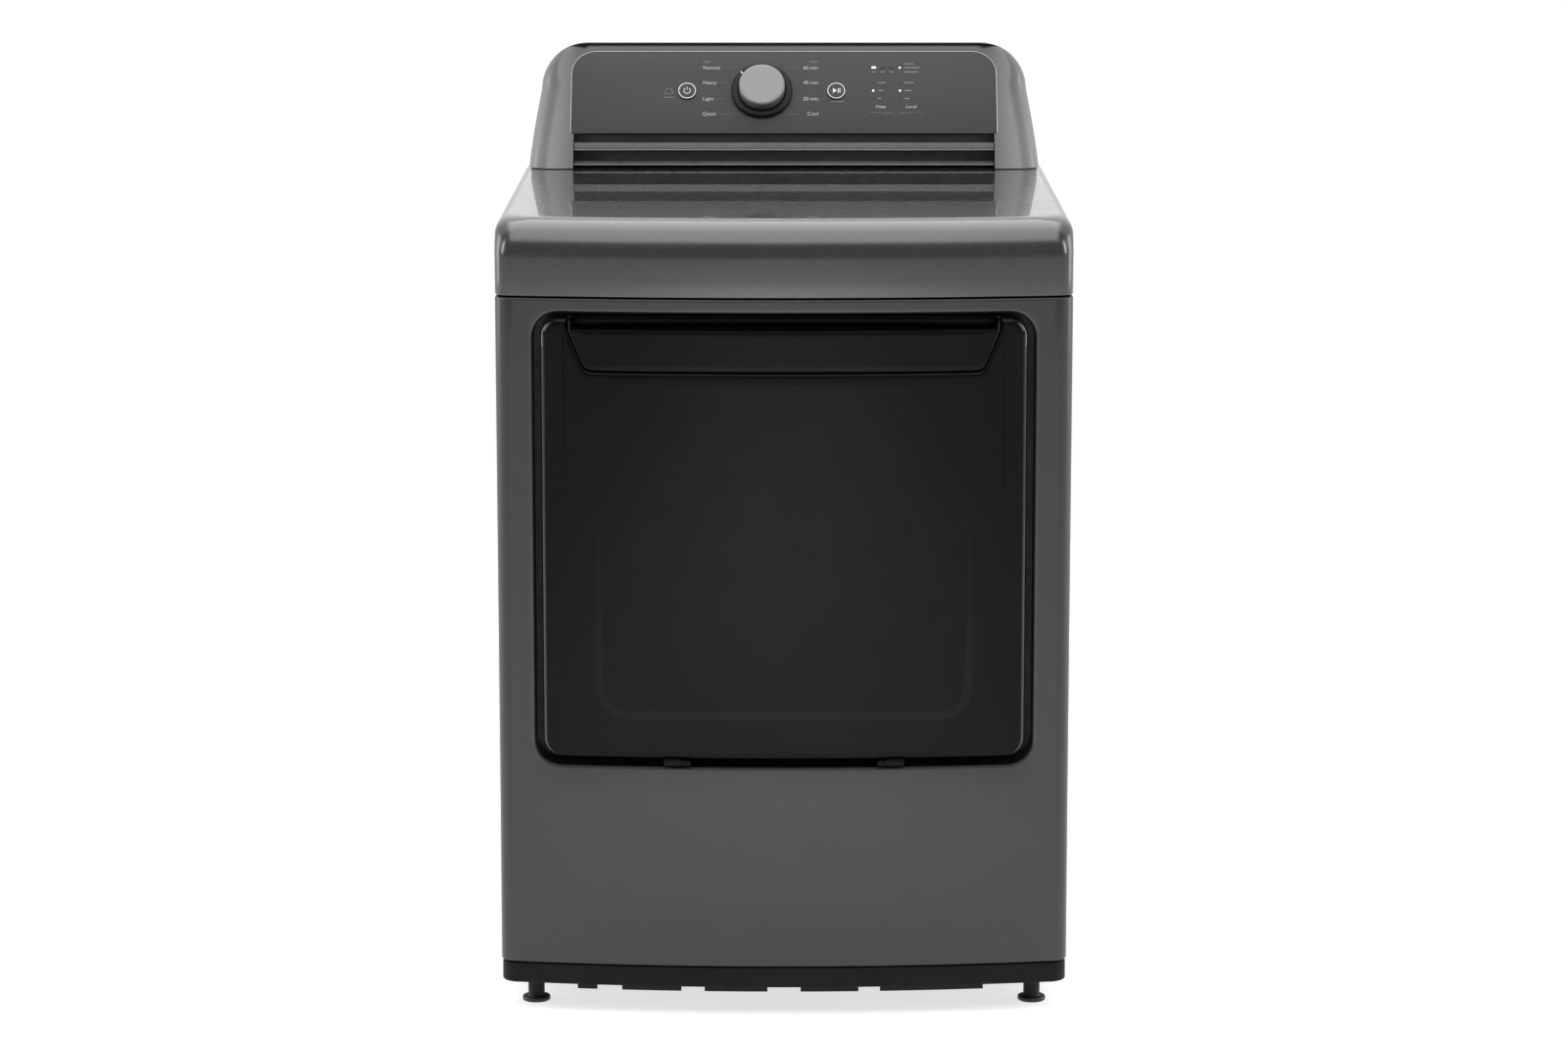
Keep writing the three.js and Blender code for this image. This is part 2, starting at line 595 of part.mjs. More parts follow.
function rollers() {
  const reach = DRUM.radius + ROLLER.clearance + ROLLER.radius;
  const spread = THREE.MathUtils.degToRad(ROLLER.spread);
  const y0 = DRUM.rear - ROLLER.width - ROLLER.fromRear;
  for (const [name, side] of [['left', -1], ['right', 1]]) {
    const x = side * reach * Math.sin(spread);
    const z = DRUM.z - reach * Math.cos(spread);
    add(`roller_shaft_${name}`, 'steel', disc(ROLLER.shaft, y0 - 4, BULKHEAD.rear - GAP, x, z, 24));
    const roller = disc(ROLLER.radius, y0, y0 + ROLLER.width, x, z, 36)
      .subtract(disc(ROLLER.shaft + GAP, -DEPTH, DEPTH, x, z, 24));
    add(`drum_roller_${name}`, 'rubber', roller);
  }
}

// ---- Belt drive ----
const drumCentre = new THREE.Vector2(0, DRUM.z);
const motorCentre = new THREE.Vector2(MOTOR.x, MOTOR.z);

// Unit vectors of the belt's right-hand run: its outward normal and its direction away from the motor.
function beltRun(drumRadius, pulleyRadius) {
  const line = drumCentre.clone().sub(motorCentre);
  const lean = (pulleyRadius - drumRadius) / line.length();
  const along = line.clone().normalize();
  const across = new THREE.Vector2(along.y, -along.x);
  const normal = along.clone().multiplyScalar(lean).addScaledVector(across, Math.sqrt(1 - lean ** 2));
  const direction = new THREE.Vector2(-normal.y, normal.x);
  return { normal, direction };
}

function beltOutline(drumRadius, pulleyRadius) {
  const line = drumCentre.clone().sub(motorCentre);
  const base = Math.atan2(line.y, line.x);
  const swing = Math.acos((pulleyRadius - drumRadius) / line.length());
  const arc = (centre, radius, from, to, steps) => {
    const points = [];
    for (let i = 0; i <= steps; i += 1) {
      const angle = from + (to - from) * i / steps;
      points.push([centre.x + radius * Math.cos(angle), centre.y + radius * Math.sin(angle)]);
    }
    return points;
  };
  return [...arc(drumCentre, drumRadius, base - swing, base + swing, 40),
    ...arc(motorCentre, pulleyRadius, base + swing, base - swing + 2 * Math.PI, 8)];
}

function beltDrive() {
  const inner = [DRUM.radius + BELT.clearance, PULLEY.radius + BELT.clearance];
  const outer = inner.map((radius) => radius + BELT.thick);
  const y0 = BELT.y - BELT.width / 2;
  const belt = carry(beltOutline(...outer), y0, y0 + BELT.width)
    .subtract(carry(beltOutline(...inner), y0 - 1, y0 + BELT.width + 1));
  add('drum_belt', 'rubber', belt);

  const { normal, direction } = beltRun(...outer);
  const wheel = motorCentre.clone().addScaledVector(direction, IDLER.along)
    .addScaledVector(normal, outer[1] + BELT.clearance + IDLER.radius);
  const wheelY = BELT.y - IDLER.width / 2;
  add('idler_wheel', 'blackPlastic', disc(IDLER.radius, wheelY, wheelY + IDLER.width, wheel.x, wheel.y, 32)
    .subtract(disc(IDLER.pin + GAP, -DEPTH, DEPTH, wheel.x, wheel.y, 20)));

  const armY = MOTOR.rear + MOTOR.plate + IDLER.clear;
  const pivot = new THREE.Vector2(IDLER.pivotX, IDLER.pivotZ);
  const heading = pivot.clone().sub(wheel);
  const side = new THREE.Vector2(-heading.y, heading.x).setLength(IDLER.boss * 0.6);
  const corners = [wheel.clone().add(side), wheel.clone().sub(side),
    pivot.clone().sub(side), pivot.clone().add(side)];
  const bar = corners.map((corner) => [corner.x, corner.y]);
  const arm = carry(bar, armY, armY + IDLER.arm)
    .add(disc(IDLER.boss, armY, armY + IDLER.arm, wheel.x, wheel.y, 24))
    .add(disc(IDLER.boss, armY, armY + IDLER.arm, pivot.x, pivot.y, 24))
    .add(disc(IDLER.pin, armY, wheelY + IDLER.width + 2, wheel.x, wheel.y, 20))
    .subtract(disc(IDLER.stud + GAP, -DEPTH, DEPTH, pivot.x, pivot.y, 24));
  add('idler_arm', 'steel', arm);
}

function motor() {
  const { x, z, radius, bore, core, front, rear, shaft, plate, halfMount } = MOTOR;
  add('motor_stator', 'galvanised', disc(radius, front + GAP, rear - GAP, x, z, 40)
    .subtract(disc(bore, -DEPTH, DEPTH, x, z, 32)));

  const rightEnd = IDLER.pivotX + IDLER.boss;
  const floor = PANEL_Z - PAN.sheet;
  const high = z + radius / 2;
  const studEnd = rear + plate + IDLER.clear + IDLER.arm + plate;
  const mount = box(x - halfMount, rightEnd, front - plate, rear + plate, floor, floor + plate)
    .add(box(x - halfMount, x + halfMount, front - plate, front, floor, high))
    .add(box(x - halfMount, x + halfMount, rear, rear + plate, floor, high))
    .add(box(x, rightEnd, rear, rear + plate, floor, IDLER.pivotZ + IDLER.boss))
    .add(disc(IDLER.stud, rear, studEnd, IDLER.pivotX, IDLER.pivotZ, 24))
    .subtract(disc(shaft + 4, -DEPTH, DEPTH, x, z, 24));
  add('motor_mount', 'galvanised', mount);

  const half = BELT.width / 2 + 1;
  const rotor = disc(shaft, BLOWER.front + BLOWER.clear, BELT.y + half + PULLEY.edge, x, z, 24)
    .add(disc(core, front + BLOWER.clear, rear - BLOWER.clear, x, z, 32))
    .add(disc(PULLEY.radius, BELT.y - half, BELT.y + half, x, z, 32))
    .add(disc(PULLEY.flange, BELT.y - half - PULLEY.edge, BELT.y - half, x, z, 32))
    .add(disc(PULLEY.flange, BELT.y + half, BELT.y + half + PULLEY.edge, x, z, 32));
  add('motor_rotor', 'steel', rotor);
}

// ---- Air path: filter, chute, blower and exhaust pipe ----
function blower() {
  const { radius, front, rear, wall, inlet, wheel, vanes, hub, clear } = BLOWER;
  const { x, z } = MOTOR;
  const left = PIPE.x - PIPE.radius;
  const low = z - radius;
  const high = PIPE.z + PIPE.radius + 2;
  const housing = disc(radius, front, rear, x, z, 48).add(box(left, x, front, rear, low, high))
    .subtract(disc(radius - wall, front + wall, rear - wall, x, z, 48)
      .add(box(left + wall, x, front + wall, rear - wall, low + wall, high - wall)))
    .subtract(disc(inlet, front - 1, front + wall + 1, x, z, 40))
    .subtract(disc(MOTOR.shaft + 2, rear - wall - 1, rear + 1, x, z, 24))
    .subtract(disc(PIPE.radius - PIPE.wall, rear - wall - 1, rear + 1, PIPE.x, PIPE.z, 40));
  add('blower_housing', 'greyPlastic', housing);

  const wheelRear = rear - clear;
  const wheelFront = front + clear + 2;
  let fan = disc(wheel, wheelRear - 3, wheelRear, x, z, 28)
    .add(disc(hub, wheelFront + 20, wheelRear, x, z, 24));
  for (let i = 0; i < vanes; i += 1) {
    const blade = new THREE.BoxGeometry(2.5, wheelRear - wheelFront, 24)
      .translate(0, (wheelRear + wheelFront) / 2, wheel - 13)
      .rotateY(2 * Math.PI * i / vanes).translate(x, 0, z);
    fan = fan.add(solid(blade));
  }
  fan = fan.add(disc(wheel, wheelFront - 2, wheelFront + 1, x, z, 28)
    .subtract(disc(wheel - 24, -DEPTH, DEPTH, x, z, 28)));
  add('blower_wheel', 'greyPlastic', fan.subtract(disc(MOTOR.shaft + GAP, -DEPTH, DEPTH, x, z, 24)));

  const pipe = disc(PIPE.radius, rear + GAP, DEPTH / 2, PIPE.x, PIPE.z, 40)
    .subtract(disc(PIPE.radius - PIPE.wall, -DEPTH, DEPTH, PIPE.x, PIPE.z, 40));
  add('exhaust_pipe', 'galvanised', pipe);
}

function lintDuct() {
  const { wall, room, waist, low, past, joint } = CHUTE;
  const half = FILTER.half + room + wall;
  const y0 = FILTER.y - FILTER.thick / 2 - room - wall;
  const y1 = FILTER.y + FILTER.thick / 2 + room + wall;
  const top = PORT.low - PORT.wall - GAP;
  const span = BLOWER.inlet + past;
  const slot = box(-half + wall, half - wall, y0 + wall, y1 - wall, waist + wall, top + 1);
  add('filter_chute', 'greyPlastic', box(-half, half, y0, y1, joint + GAP, top).subtract(slot));

  const duct = box(-half, half, y0, y1, waist, joint)
    .add(box(MOTOR.x - span, MOTOR.x + span, y0, y1, low, waist + wall))
    .add(disc(BLOWER.inlet + wall, y1 - wall, BLOWER.front - GAP, MOTOR.x, MOTOR.z, 40))
    .subtract(slot)
    .subtract(box(MOTOR.x - span + wall, Math.min(MOTOR.x + span, half) - wall, y0 + wall, y1 - wall,
      waist - 1, waist + 2 * wall))
    .subtract(box(MOTOR.x - span + wall, MOTOR.x + span - wall, y0 + wall, y1 - wall, low + wall, waist))
    .subtract(disc(BLOWER.inlet, y1 - wall - 1, BLOWER.front + 1, MOTOR.x, MOTOR.z, 40));
  add('lint_duct', 'greyPlastic', duct);
}

function lintFilter() {
  const { half, thick, length, y, rim, grip, gripDepth, bars, bar, screen } = FILTER;
  const sill = PORT.low + GAP;
  const low = sill - length;
  let filter = box(-half, half, y - thick / 2, y + thick / 2, low, sill + 1)
    .subtract(box(-half + rim, half - rim, -DEPTH, 0, low + rim, sill - rim));
  for (let i = 1; i <= bars; i += 1) {
    const x = (half - rim) * (2 * i / (bars + 1) - 1);
    filter = filter.add(box(x - bar / 2, x + bar / 2, y - bar, y + bar, low + rim / 2, sill - rim / 2));
  }
  const sheet = box(-half + rim / 2, half - rim / 2, y - screen / 2, y + screen / 2,
    low + rim / 2, sill - rim / 2);
  const handle = box(-half, half, y - gripDepth / 2, y + gripDepth / 2, sill, sill + grip);
  add('lint_filter', 'greyPlastic', filter.add(sheet).add(handle));
}

function heater() {
  const { left, right, low, high, depth } = HEATER;
  const front = BULKHEAD.rear + SHEET + GAP;
  const heaterBox = box(left, right, front, front + depth, low, high)
    .subtract(box(left + SHEET, right - SHEET, front - 1, front + depth - SHEET, low - 1, high - SHEET));
  add('heater_box', 'galvanised', heaterBox);
}

function terminals() {
  const { x, z, half, height, block, cover, margin, entry } = TERMINAL;
  const blockBack = REAR_Y - SHEET - GAP;
  const blockHalf = half - margin / 2;
  add('terminal_block', 'blackPlastic', box(x - blockHalf, x + blockHalf, blockBack - block, blockBack,
    z - height / 2 + margin, z + height / 2 - margin));

  const front = REAR_Y + GAP;
  const lid = box(x - half - margin, x + half + margin, front, front + cover,
    z - height / 2 - margin, z + height / 2 + margin)
    .subtract(box(x - half, x + half, front - 1, front + cover - SHEET, z - height / 2, z + height / 2))
    .subtract(post(entry, 0, z, x, front));
  add('terminal_cover', 'galvanised', lid);
}

// ---- Console ----
const faceMatrix = new THREE.Matrix4().makeBasis(
  new THREE.Vector3(1, 0, 0),
  new THREE.Vector3(0, Math.sin(FACE.tilt), Math.cos(FACE.tilt)),
  new THREE.Vector3(0, -Math.cos(FACE.tilt), Math.sin(FACE.tilt)),
).setPosition(0, FACE.footY, DECK_Z);

function faceY(z) {
  return FACE.footY + (z - DECK_Z) * Math.tan(FACE.tilt);
}

function faceHeight(up) {
  return DECK_Z + up * Math.cos(FACE.tilt);
}

// An outline on the leaning face, [x, up], from depth n0 to n1 along its normal.
function onFace(points, n0, n1) {
  return solid(extrude(points, n1 - n0).translate(0, 0, n0).applyMatrix4(faceMatrix));
}

function faceDisc(radius, x, n0, n1, sides = 36) {
  const points = [];
  for (let i = 0; i < sides; i += 1) {
    const angle = 2 * Math.PI * i / sides;
    points.push([x + radius * Math.cos(angle), CONTROLS_UP + radius * Math.sin(angle)]);
  }
  return onFace(points, n0, n1);
}

function panelOutline(grow) {
  const points = [];
  const half = FACE.half + grow;
  const high = FACE.high + grow;
  const steps = 8;
  for (let i = 0; i <= steps; i += 1) {
    const angle = Math.PI / 2 * i / steps;
    points.push([half - FACE.corner * (1 - Math.cos(angle)), high - FACE.corner * (1 - Math.sin(angle))]);
  }
  const mirrored = points.map(([x, up]) => [-x, up]).reverse();
  return [[-half, FACE.low - grow], [half, FACE.low - grow], ...points, ...mirrored];
}

function consoleBody(inset, low, rear) {
  const top = CONSOLE.top - inset;
  const heights = [low, DECK_Z + 24, DECK_Z + 60, CONSOLE.top - CONSOLE.topCorner];
  for (const share of [0.35, 0.6, 0.78, 0.9, 0.97, 1]) {
    heights.push(CONSOLE.top - CONSOLE.topCorner + (CONSOLE.topCorner - inset) * share);
  }
  const shoulder = CONSOLE.top - CONSOLE.topCorner;
  const outline = (z) => {
    const rise = Math.min(1, Math.max(0, (z - DECK_Z) / (shoulder - DECK_Z)));
    const straight = CONSOLE.half - (CONSOLE.half - CONSOLE.upperHalf) * rise ** 1.3;
    const half = straight - inset - rollIn(z + inset, CONSOLE.top, CONSOLE.topCorner);
    const front = faceY(z) + inset / Math.cos(FACE.tilt);
    const corner = Math.min(CONSOLE.corner, (CONSOLE.rear - faceY(z)) * 0.8);
    return planOutline({ half, front, rear, bow: 0, corner }, 4);
  };
  return loft(heights.filter((z) => z <= top + 0.001).map((z) => ({ z, points: outline(z) })));
}

function consoleParts() {
  const base = DECK_Z + GAP;
  const shell = consoleBody(0, base, CONSOLE.rear)
    .subtract(consoleBody(CONSOLE.wall, DECK_Z - 5, CONSOLE.rear + 5))
    .subtract(onFace(panelOutline(GAP), -30, 10))
    .subtract(box(-LOUVER.half - GAP, LOUVER.half + GAP, 0, FACE.footY + LOUVER.back,
      0, faceHeight(FACE.low)));
  add('console_shell', 'paint', shell);

  const back = box(-WIDTH, WIDTH, CONSOLE.rear - CONSOLE.backCover, CONSOLE.rear, base + GAP, CONSOLE.top)
    .intersect(consoleBody(CONSOLE.wall + GAP, DECK_Z - 5, CONSOLE.rear + 5));
  add('console_back_cover', 'galvanised', back);

  const rear = FACE.footY + LOUVER.back;
  const slats = SLATS.map(({ low, high, reach }) =>
    box(-LOUVER.half, LOUVER.half, rear - reach, rear, DECK_Z + low, DECK_Z + high));
  const grilleTop = faceHeight(FACE.low) - GAP - 1;
  const grille = slats.reduce((all, slat) => all.add(slat),
    box(-LOUVER.half, LOUVER.half, rear - LOUVER.wall, rear, base, grilleTop));
  add('console_louver', 'blackPlastic', grille);
}

function controls() {
  const reach = KNOB.ringHeight;
  const hole = BUTTON.radius + BUTTON.clearance;
  const panel = onFace(panelOutline(0), -FACE.thick, 0)
    .subtract(faceDisc(KNOB.stem + 1, KNOB.x, -9, 9, 20))
    .subtract(faceDisc(hole, BUTTON.power, -9, 9))
    .subtract(faceDisc(hole, BUTTON.start, -9, 9));
  add('control_panel', 'faceGrey', panel);

  add('knob_ring', 'blackPlastic', faceDisc(KNOB.ring, KNOB.x, GAP, reach, 48)
    .add(faceDisc(KNOB.stem, KNOB.x, -KNOB.stemLength, reach, 20)));
  add('knob_cap', 'silver', faceDisc(KNOB.cap, KNOB.x, reach + GAP, KNOB.height, 48)
    .subtract(faceDisc(KNOB.cap - KNOB.capWall, KNOB.x, reach, KNOB.height - KNOB.capWall, 32)));
  for (const name of ['power', 'start']) {
    add(`${name}_button`, 'silver', faceDisc(BUTTON.radius, BUTTON[name], -BUTTON.depth, BUTTON.proud, 32));
  }
  const { half, low, high } = BOARD;
  const outline = [[-half, low], [half, low], [half, high], [-half, high]];
  add('control_board', 'board', onFace(outline, -BOARD.behind - BOARD.thick, -BOARD.behind));
}

basePan();
toeSkirt();
feet();
frontPanel();
sidePanels();
rearPanel();
topCover();
doorWell();
portSleeve();
doorLatch();
doorOuter();
doorHandle();
doorInner();
doorHinges();
bulkheads();
drumShell();
baffles();
rollers();
beltDrive();
motor();
blower();
lintDuct();
lintFilter();
heater();
terminals();
consoleParts();
controls();

export default group;
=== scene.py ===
"""Looks of a free-standing clothes dryer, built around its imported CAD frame."""
import json
import math

import bmesh
import bpy
from mathutils import Matrix, Vector


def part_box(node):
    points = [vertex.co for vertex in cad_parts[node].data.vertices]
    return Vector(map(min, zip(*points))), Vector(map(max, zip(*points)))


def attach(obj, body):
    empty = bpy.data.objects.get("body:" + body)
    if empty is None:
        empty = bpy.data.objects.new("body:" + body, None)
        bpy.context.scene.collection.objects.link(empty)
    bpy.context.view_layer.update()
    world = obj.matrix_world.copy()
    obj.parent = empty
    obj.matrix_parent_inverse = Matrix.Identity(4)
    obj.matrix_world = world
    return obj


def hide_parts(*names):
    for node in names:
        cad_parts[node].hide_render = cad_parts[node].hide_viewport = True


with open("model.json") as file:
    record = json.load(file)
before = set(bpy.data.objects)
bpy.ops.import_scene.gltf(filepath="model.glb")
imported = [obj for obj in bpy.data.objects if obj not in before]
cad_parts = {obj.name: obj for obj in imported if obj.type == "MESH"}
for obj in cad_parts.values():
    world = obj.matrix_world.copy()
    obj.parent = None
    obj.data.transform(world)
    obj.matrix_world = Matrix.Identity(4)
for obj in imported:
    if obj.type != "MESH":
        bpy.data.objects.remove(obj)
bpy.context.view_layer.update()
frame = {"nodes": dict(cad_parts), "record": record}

MM = 0.001


def box_mm(node):
    """Lowest and highest corners of a CAD node, in millimetres."""
    low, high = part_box(node)
    return low / MM, high / MM


# ---- Places worked out from the frame, in millimetres ----
PANEL_LOW, PANEL_HIGH = box_mm("front_panel")
HALF = PANEL_HIGH.x
BOW = 28.0
EDGE_Y = PANEL_LOW.y + BOW
COVER_LOW, COVER_HIGH = box_mm("top_cover")
DECK_Z = COVER_HIGH.z
SKIRT_LOW, SKIRT_HIGH = box_mm("toe_skirt")
DOOR_LOW, DOOR_HIGH = box_mm("door_outer_panel")
HANDLE_LOW, HANDLE_HIGH = box_mm("door_handle")
WELL_LOW, WELL_HIGH = box_mm("door_well")
SHELL_LOW, SHELL_HIGH = box_mm("console_shell")
FACE_LOW, FACE_HIGH = box_mm("control_panel")
LOUVER_LOW, LOUVER_HIGH = box_mm("console_louver")

# ---- Sizes that only the looks need ----
SHEET = 0.9
SEAM = 1.3
CORNER = 20.0
RETURN = 22.0
CARD_GLOW = 2.6
WELL_MARGIN = 15.0
OPENING = {"half": WELL_HIGH.x - WELL_MARGIN, "low": WELL_LOW.z + WELL_MARGIN,
           "high": WELL_HIGH.z - WELL_MARGIN, "corner": 30.0}
DOOR_PROUD = EDGE_Y - BOW - DOOR_LOW.y
FACE_TILT = math.radians(33)
FACE_FOOT_Y = FACE_LOW.y - (FACE_LOW.z + 3 * math.sin(FACE_TILT) - DECK_Z) * math.tan(FACE_TILT)


# ---- Mesh building ----
def linked(name, data):
    """A new object in the scene that shows the data."""
    item = bpy.data.objects.new(name, data)
    bpy.context.scene.collection.objects.link(item)
    return item


def new_mesh(name, part, unit=MM):
    verts, faces = part
    mesh = bpy.data.meshes.new(name)
    mesh.from_pydata([Vector(v) * unit for v in verts], [], faces)
    return mesh


def add_mesh(name, part, material, body="cabinet", replaces=(), smooth=40, slot=None):
    """A mesh piece from (points in millimetres, faces), riding on a CAD body."""
    mesh = new_mesh(name, part)
    mesh.validate()
    mesh.update()
    return dress(linked(name, mesh), material, body, replaces, smooth, slot)


def dress(piece, material, body, replaces, smooth, slot=None):
    """Gives a finished object its material, shading and body."""
    if slot is None:
        slot = next(name for name, group in SLOTS.items() if material in group)
    mesh = piece.data
    mesh.materials.clear()
    mesh.materials.append(material)
    mesh.shade_smooth()
    mesh.set_sharp_from_angle(angle=math.radians(smooth))
    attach(piece, body)
    if replaces:
        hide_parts(*replaces)
    return piece


def merge(*parts):
    """Joins (verts, faces) parts into one."""
    verts, faces = [], []
    for part_verts, part_faces in parts:
        start = len(verts)
        verts.extend(part_verts)
        faces.extend([tuple(i + start for i in face) for face in part_faces])
    return verts, faces


def loft(loops, closed=True, cap_start=False, cap_end=False):
    """Quads between successive loops of equal length."""
    count = len(loops[0])
    verts = [tuple(p) for loop in loops for p in loop]
    faces = []
    last = count if closed else count - 1
    for row in range(len(loops) - 1):
        for i in range(last):
            a = row * count + i
            b = row * count + (i + 1) % count
            faces.append((a, b, b + count, a + count))
    if cap_start:
        faces.append(tuple(reversed(range(count))))
    if cap_end:
        start = (len(loops) - 1) * count
        faces.append(tuple(range(start, start + count)))
    return verts, faces


def placed(part, matrix):
    """A part moved by a matrix in millimetres."""
    verts, faces = part
    return [tuple(matrix @ Vector(v)) for v in verts], faces


def circle(radius, height, sides):
    angles = [2 * math.pi * i / sides for i in range(sides)]
    return [(radius * math.cos(angle), radius * math.sin(angle), height) for angle in angles]


def revolve(profile, segments=48):
    """A (radius, height) profile turned round Z; ends on the axis close it."""
    loops = [circle(max(radius, 0.001), height, segments) for radius, height in profile]
    return loft(loops, cap_start=True, cap_end=True)


def quarter(steps):
    """Pairs that rise from 0 to 1 and fall from 1 to 0 along a quarter turn, for rolled edges."""
    angles = [math.pi / 2 * i / steps for i in range(steps + 1)]
    return [(1 - math.cos(angle), 1 - math.sin(angle)) for angle in angles]


def axis_matrix(origin, z_axis, x_axis=(1, 0, 0)):
    """A frame at origin whose Z runs along z_axis."""
    z = Vector(z_axis).normalized()
    x = Vector(x_axis)
    x = (x - z * x.dot(z)).normalized()
    y = z.cross(x)
    matrix = Matrix((x, y, z)).transposed().to_4x4()
    matrix.translation = Vector(origin)
    return matrix


def corner_ring(x, y, reach, z, steps):
    """A rounded rectangle at height z whose corners are centred on (+-x, +-y)."""
    ring = []
    for cx, cy, start in ((1, -1, -90), (1, 1, 0), (-1, 1, 90), (-1, -1, 180)):
        for i in range(steps + 1):
            angle = math.radians(start + 90 * i / steps)
            ring.append((cx * x + reach * math.cos(angle), cy * y + reach * math.sin(angle), z))
    return ring


def rounded_box(size, radius, steps=3):
    """A box with all its edges rounded, centred on the origin."""
    half = [s / 2 for s in size]
    radius = min([radius] + [h * 0.98 for h in half])
    levels = [(-half[2] + radius * fall, radius * rise) for rise, fall in reversed(quarter(steps))]
    upper = [(-z, inset) for z, inset in reversed(levels)]
    loops = [corner_ring(half[0] - radius, half[1] - radius, radius - inset, z, steps)
             for z, inset in levels + upper]
    return loft(loops, cap_start=True, cap_end=True)


def tube(path, radius, sides=8, closed=False):
    """A round rod along a path of points."""
    points = [Vector(p) for p in path]
    count = len(points)
    loops = []
    normal = None
    for i, point in enumerate(points):
        before = points[(i - 1) % count] if closed or i > 0 else point
        after = points[(i + 1) % count] if closed or i < count - 1 else point
        tangent = (after - before).normalized()
        if normal is None:
            normal = tangent.orthogonal().normalized()
        normal = (normal - tangent * normal.dot(tangent)).normalized()
        side = tangent.cross(normal)
        ring = []
        for k in range(sides):
            angle = 2 * math.pi * k / sides
            ring.append(tuple(point + (normal * math.cos(angle) + side * math.sin(angle)) * radius))
        loops.append(ring)
    if closed:
        verts, faces = loft(loops)
        start = (count - 1) * sides
        for k in range(sides):
            faces.append((start + k, start + (k + 1) % sides, (k + 1) % sides, k))
        return verts, faces
    return loft(loops, cap_start=True, cap_end=True)


# ---- The bowed front ----
def front_y(x, ahead=0.0):
    return EDGE_Y - BOW * (1 - (x / HALF) ** 2) - ahead


def plan_outline(half, front, rear, bow, corner, steps=36, corner_steps=10, rear_corner=0.0):
    """Plan view with a bowed front and rounded front corners, anticlockwise from the left."""
    span = half - corner

    def edge(x):
        return front - bow * (1 - (x / half) ** 2)

    points = []
    for i in range(corner_steps):
        angle = math.pi * (1 + 0.5 * i / corner_steps)
        points.append((-span + corner * math.cos(angle), edge(span) + corner + corner * math.sin(angle)))
    for i in range(steps + 1):
        x = span * (2 * i / steps - 1)
        points.append((x, edge(x)))
    for i in range(corner_steps - 1, -1, -1):
        angle = math.pi * (2 - 0.5 * i / corner_steps)
        points.append((span + corner * math.cos(angle), edge(span) + corner + corner * math.sin(angle)))
    if not rear_corner:
        return points + [(half, rear), (-half, rear)]
    curve = [(half - rear_corner * rise, rear - rear_corner * fall) for rise, fall in quarter(4)]
    return points + curve + [(-x, y) for x, y in reversed(curve)]


def rect_outline(half, low, high, corner, columns=32, rows=12, corner_steps=8):
    """A rounded rectangle as bottom, right, top and left runs that a grid can fill."""
    curve = quarter(corner_steps)[:-1]
    xs = [(-half + corner * rise, corner * fall) for rise, fall in curve]
    xs += [((half - corner) * (2 * i / columns - 1), 0.0) for i in range(columns + 1)]
    xs += [(half - corner * rise, corner * fall) for rise, fall in reversed(curve)]
    bottom = [(x, low + rise) for x, rise in xs]
    upper = [(x, high - rise) for x, rise in xs]

    def side_run(x, start, end):
        return [(x, start + (end - start) * (j + 1) / rows) for j in range(rows - 1)]

    right = side_run(half, bottom[-1][1], upper[-1][1])
    left = side_run(-half, upper[0][1], bottom[0][1])
    return {"bottom": bottom, "right": right, "top": upper, "left": left}


def outline_loop(outline):
    return outline["bottom"] + outline["right"] + outline["top"][::-1] + outline["left"]


def inset_loop(loop, distance):
    """The loop moved inwards; the loop runs anticlockwise in x, z."""
    count = len(loop)
    moved = []
    for i, (x, z) in enumerate(loop):
        before = Vector(loop[(i - 1) % count])
        after = Vector(loop[(i + 1) % count])
        point = Vector((x, z))
        first = (point - before).normalized()
        second = (after - point).normalized()
        tangent = (first + second).normalized()
        normal = Vector((-tangent.y, tangent.x))
        stretch = max(0.5, normal.dot(Vector((-first.y, first.x))))
        moved.append(tuple(point + normal * distance / stretch))
    return moved


def bowed_plate(outline, ahead, back_y, edge, steps=5):
    """A slab with the bowed front, rolled front edges of radius edge, and straight sides back to back_y."""
    loop = outline_loop(outline)
    loops = [[(x, back_y, z) for x, z in loop]]
    for rise, fall in quarter(steps):
        ring = inset_loop(loop, edge * rise)
        loops.append([(x, front_y(x, ahead) + edge * fall, z) for x, z in ring])
    verts, faces = loft(loops)
    front = loops[-1]
    start = len(verts) - len(front)
    columns = len(outline["bottom"])
    rows = len(outline["right"]) + 1

    def border(i, j):
        if j == 0:
            return start + i
        if i == columns - 1 and j < rows:
            return start + columns + j - 1
        if j == rows:
            return start + columns + rows - 1 + (columns - 1 - i)
        if i == 0:
            return start + 2 * columns + rows - 1 + (rows - 1 - j)
        return None

    grid = {}
    for i in range(columns):
        low = front[i]
        high = front[columns + rows - 1 + (columns - 1 - i)]
        for j in range(rows + 1):
            index = border(i, j)
            if index is None:
                share = j / rows
                x = low[0] + (high[0] - low[0]) * share
                verts.append((x, front_y(x, ahead), low[2] + (high[2] - low[2]) * share))
                index = len(verts) - 1
            grid[i, j] = index
    for i in range(columns - 1):
        for j in range(rows):
            faces.append((grid[i, j], grid[i + 1, j], grid[i + 1, j + 1], grid[i, j + 1]))
    return verts, faces


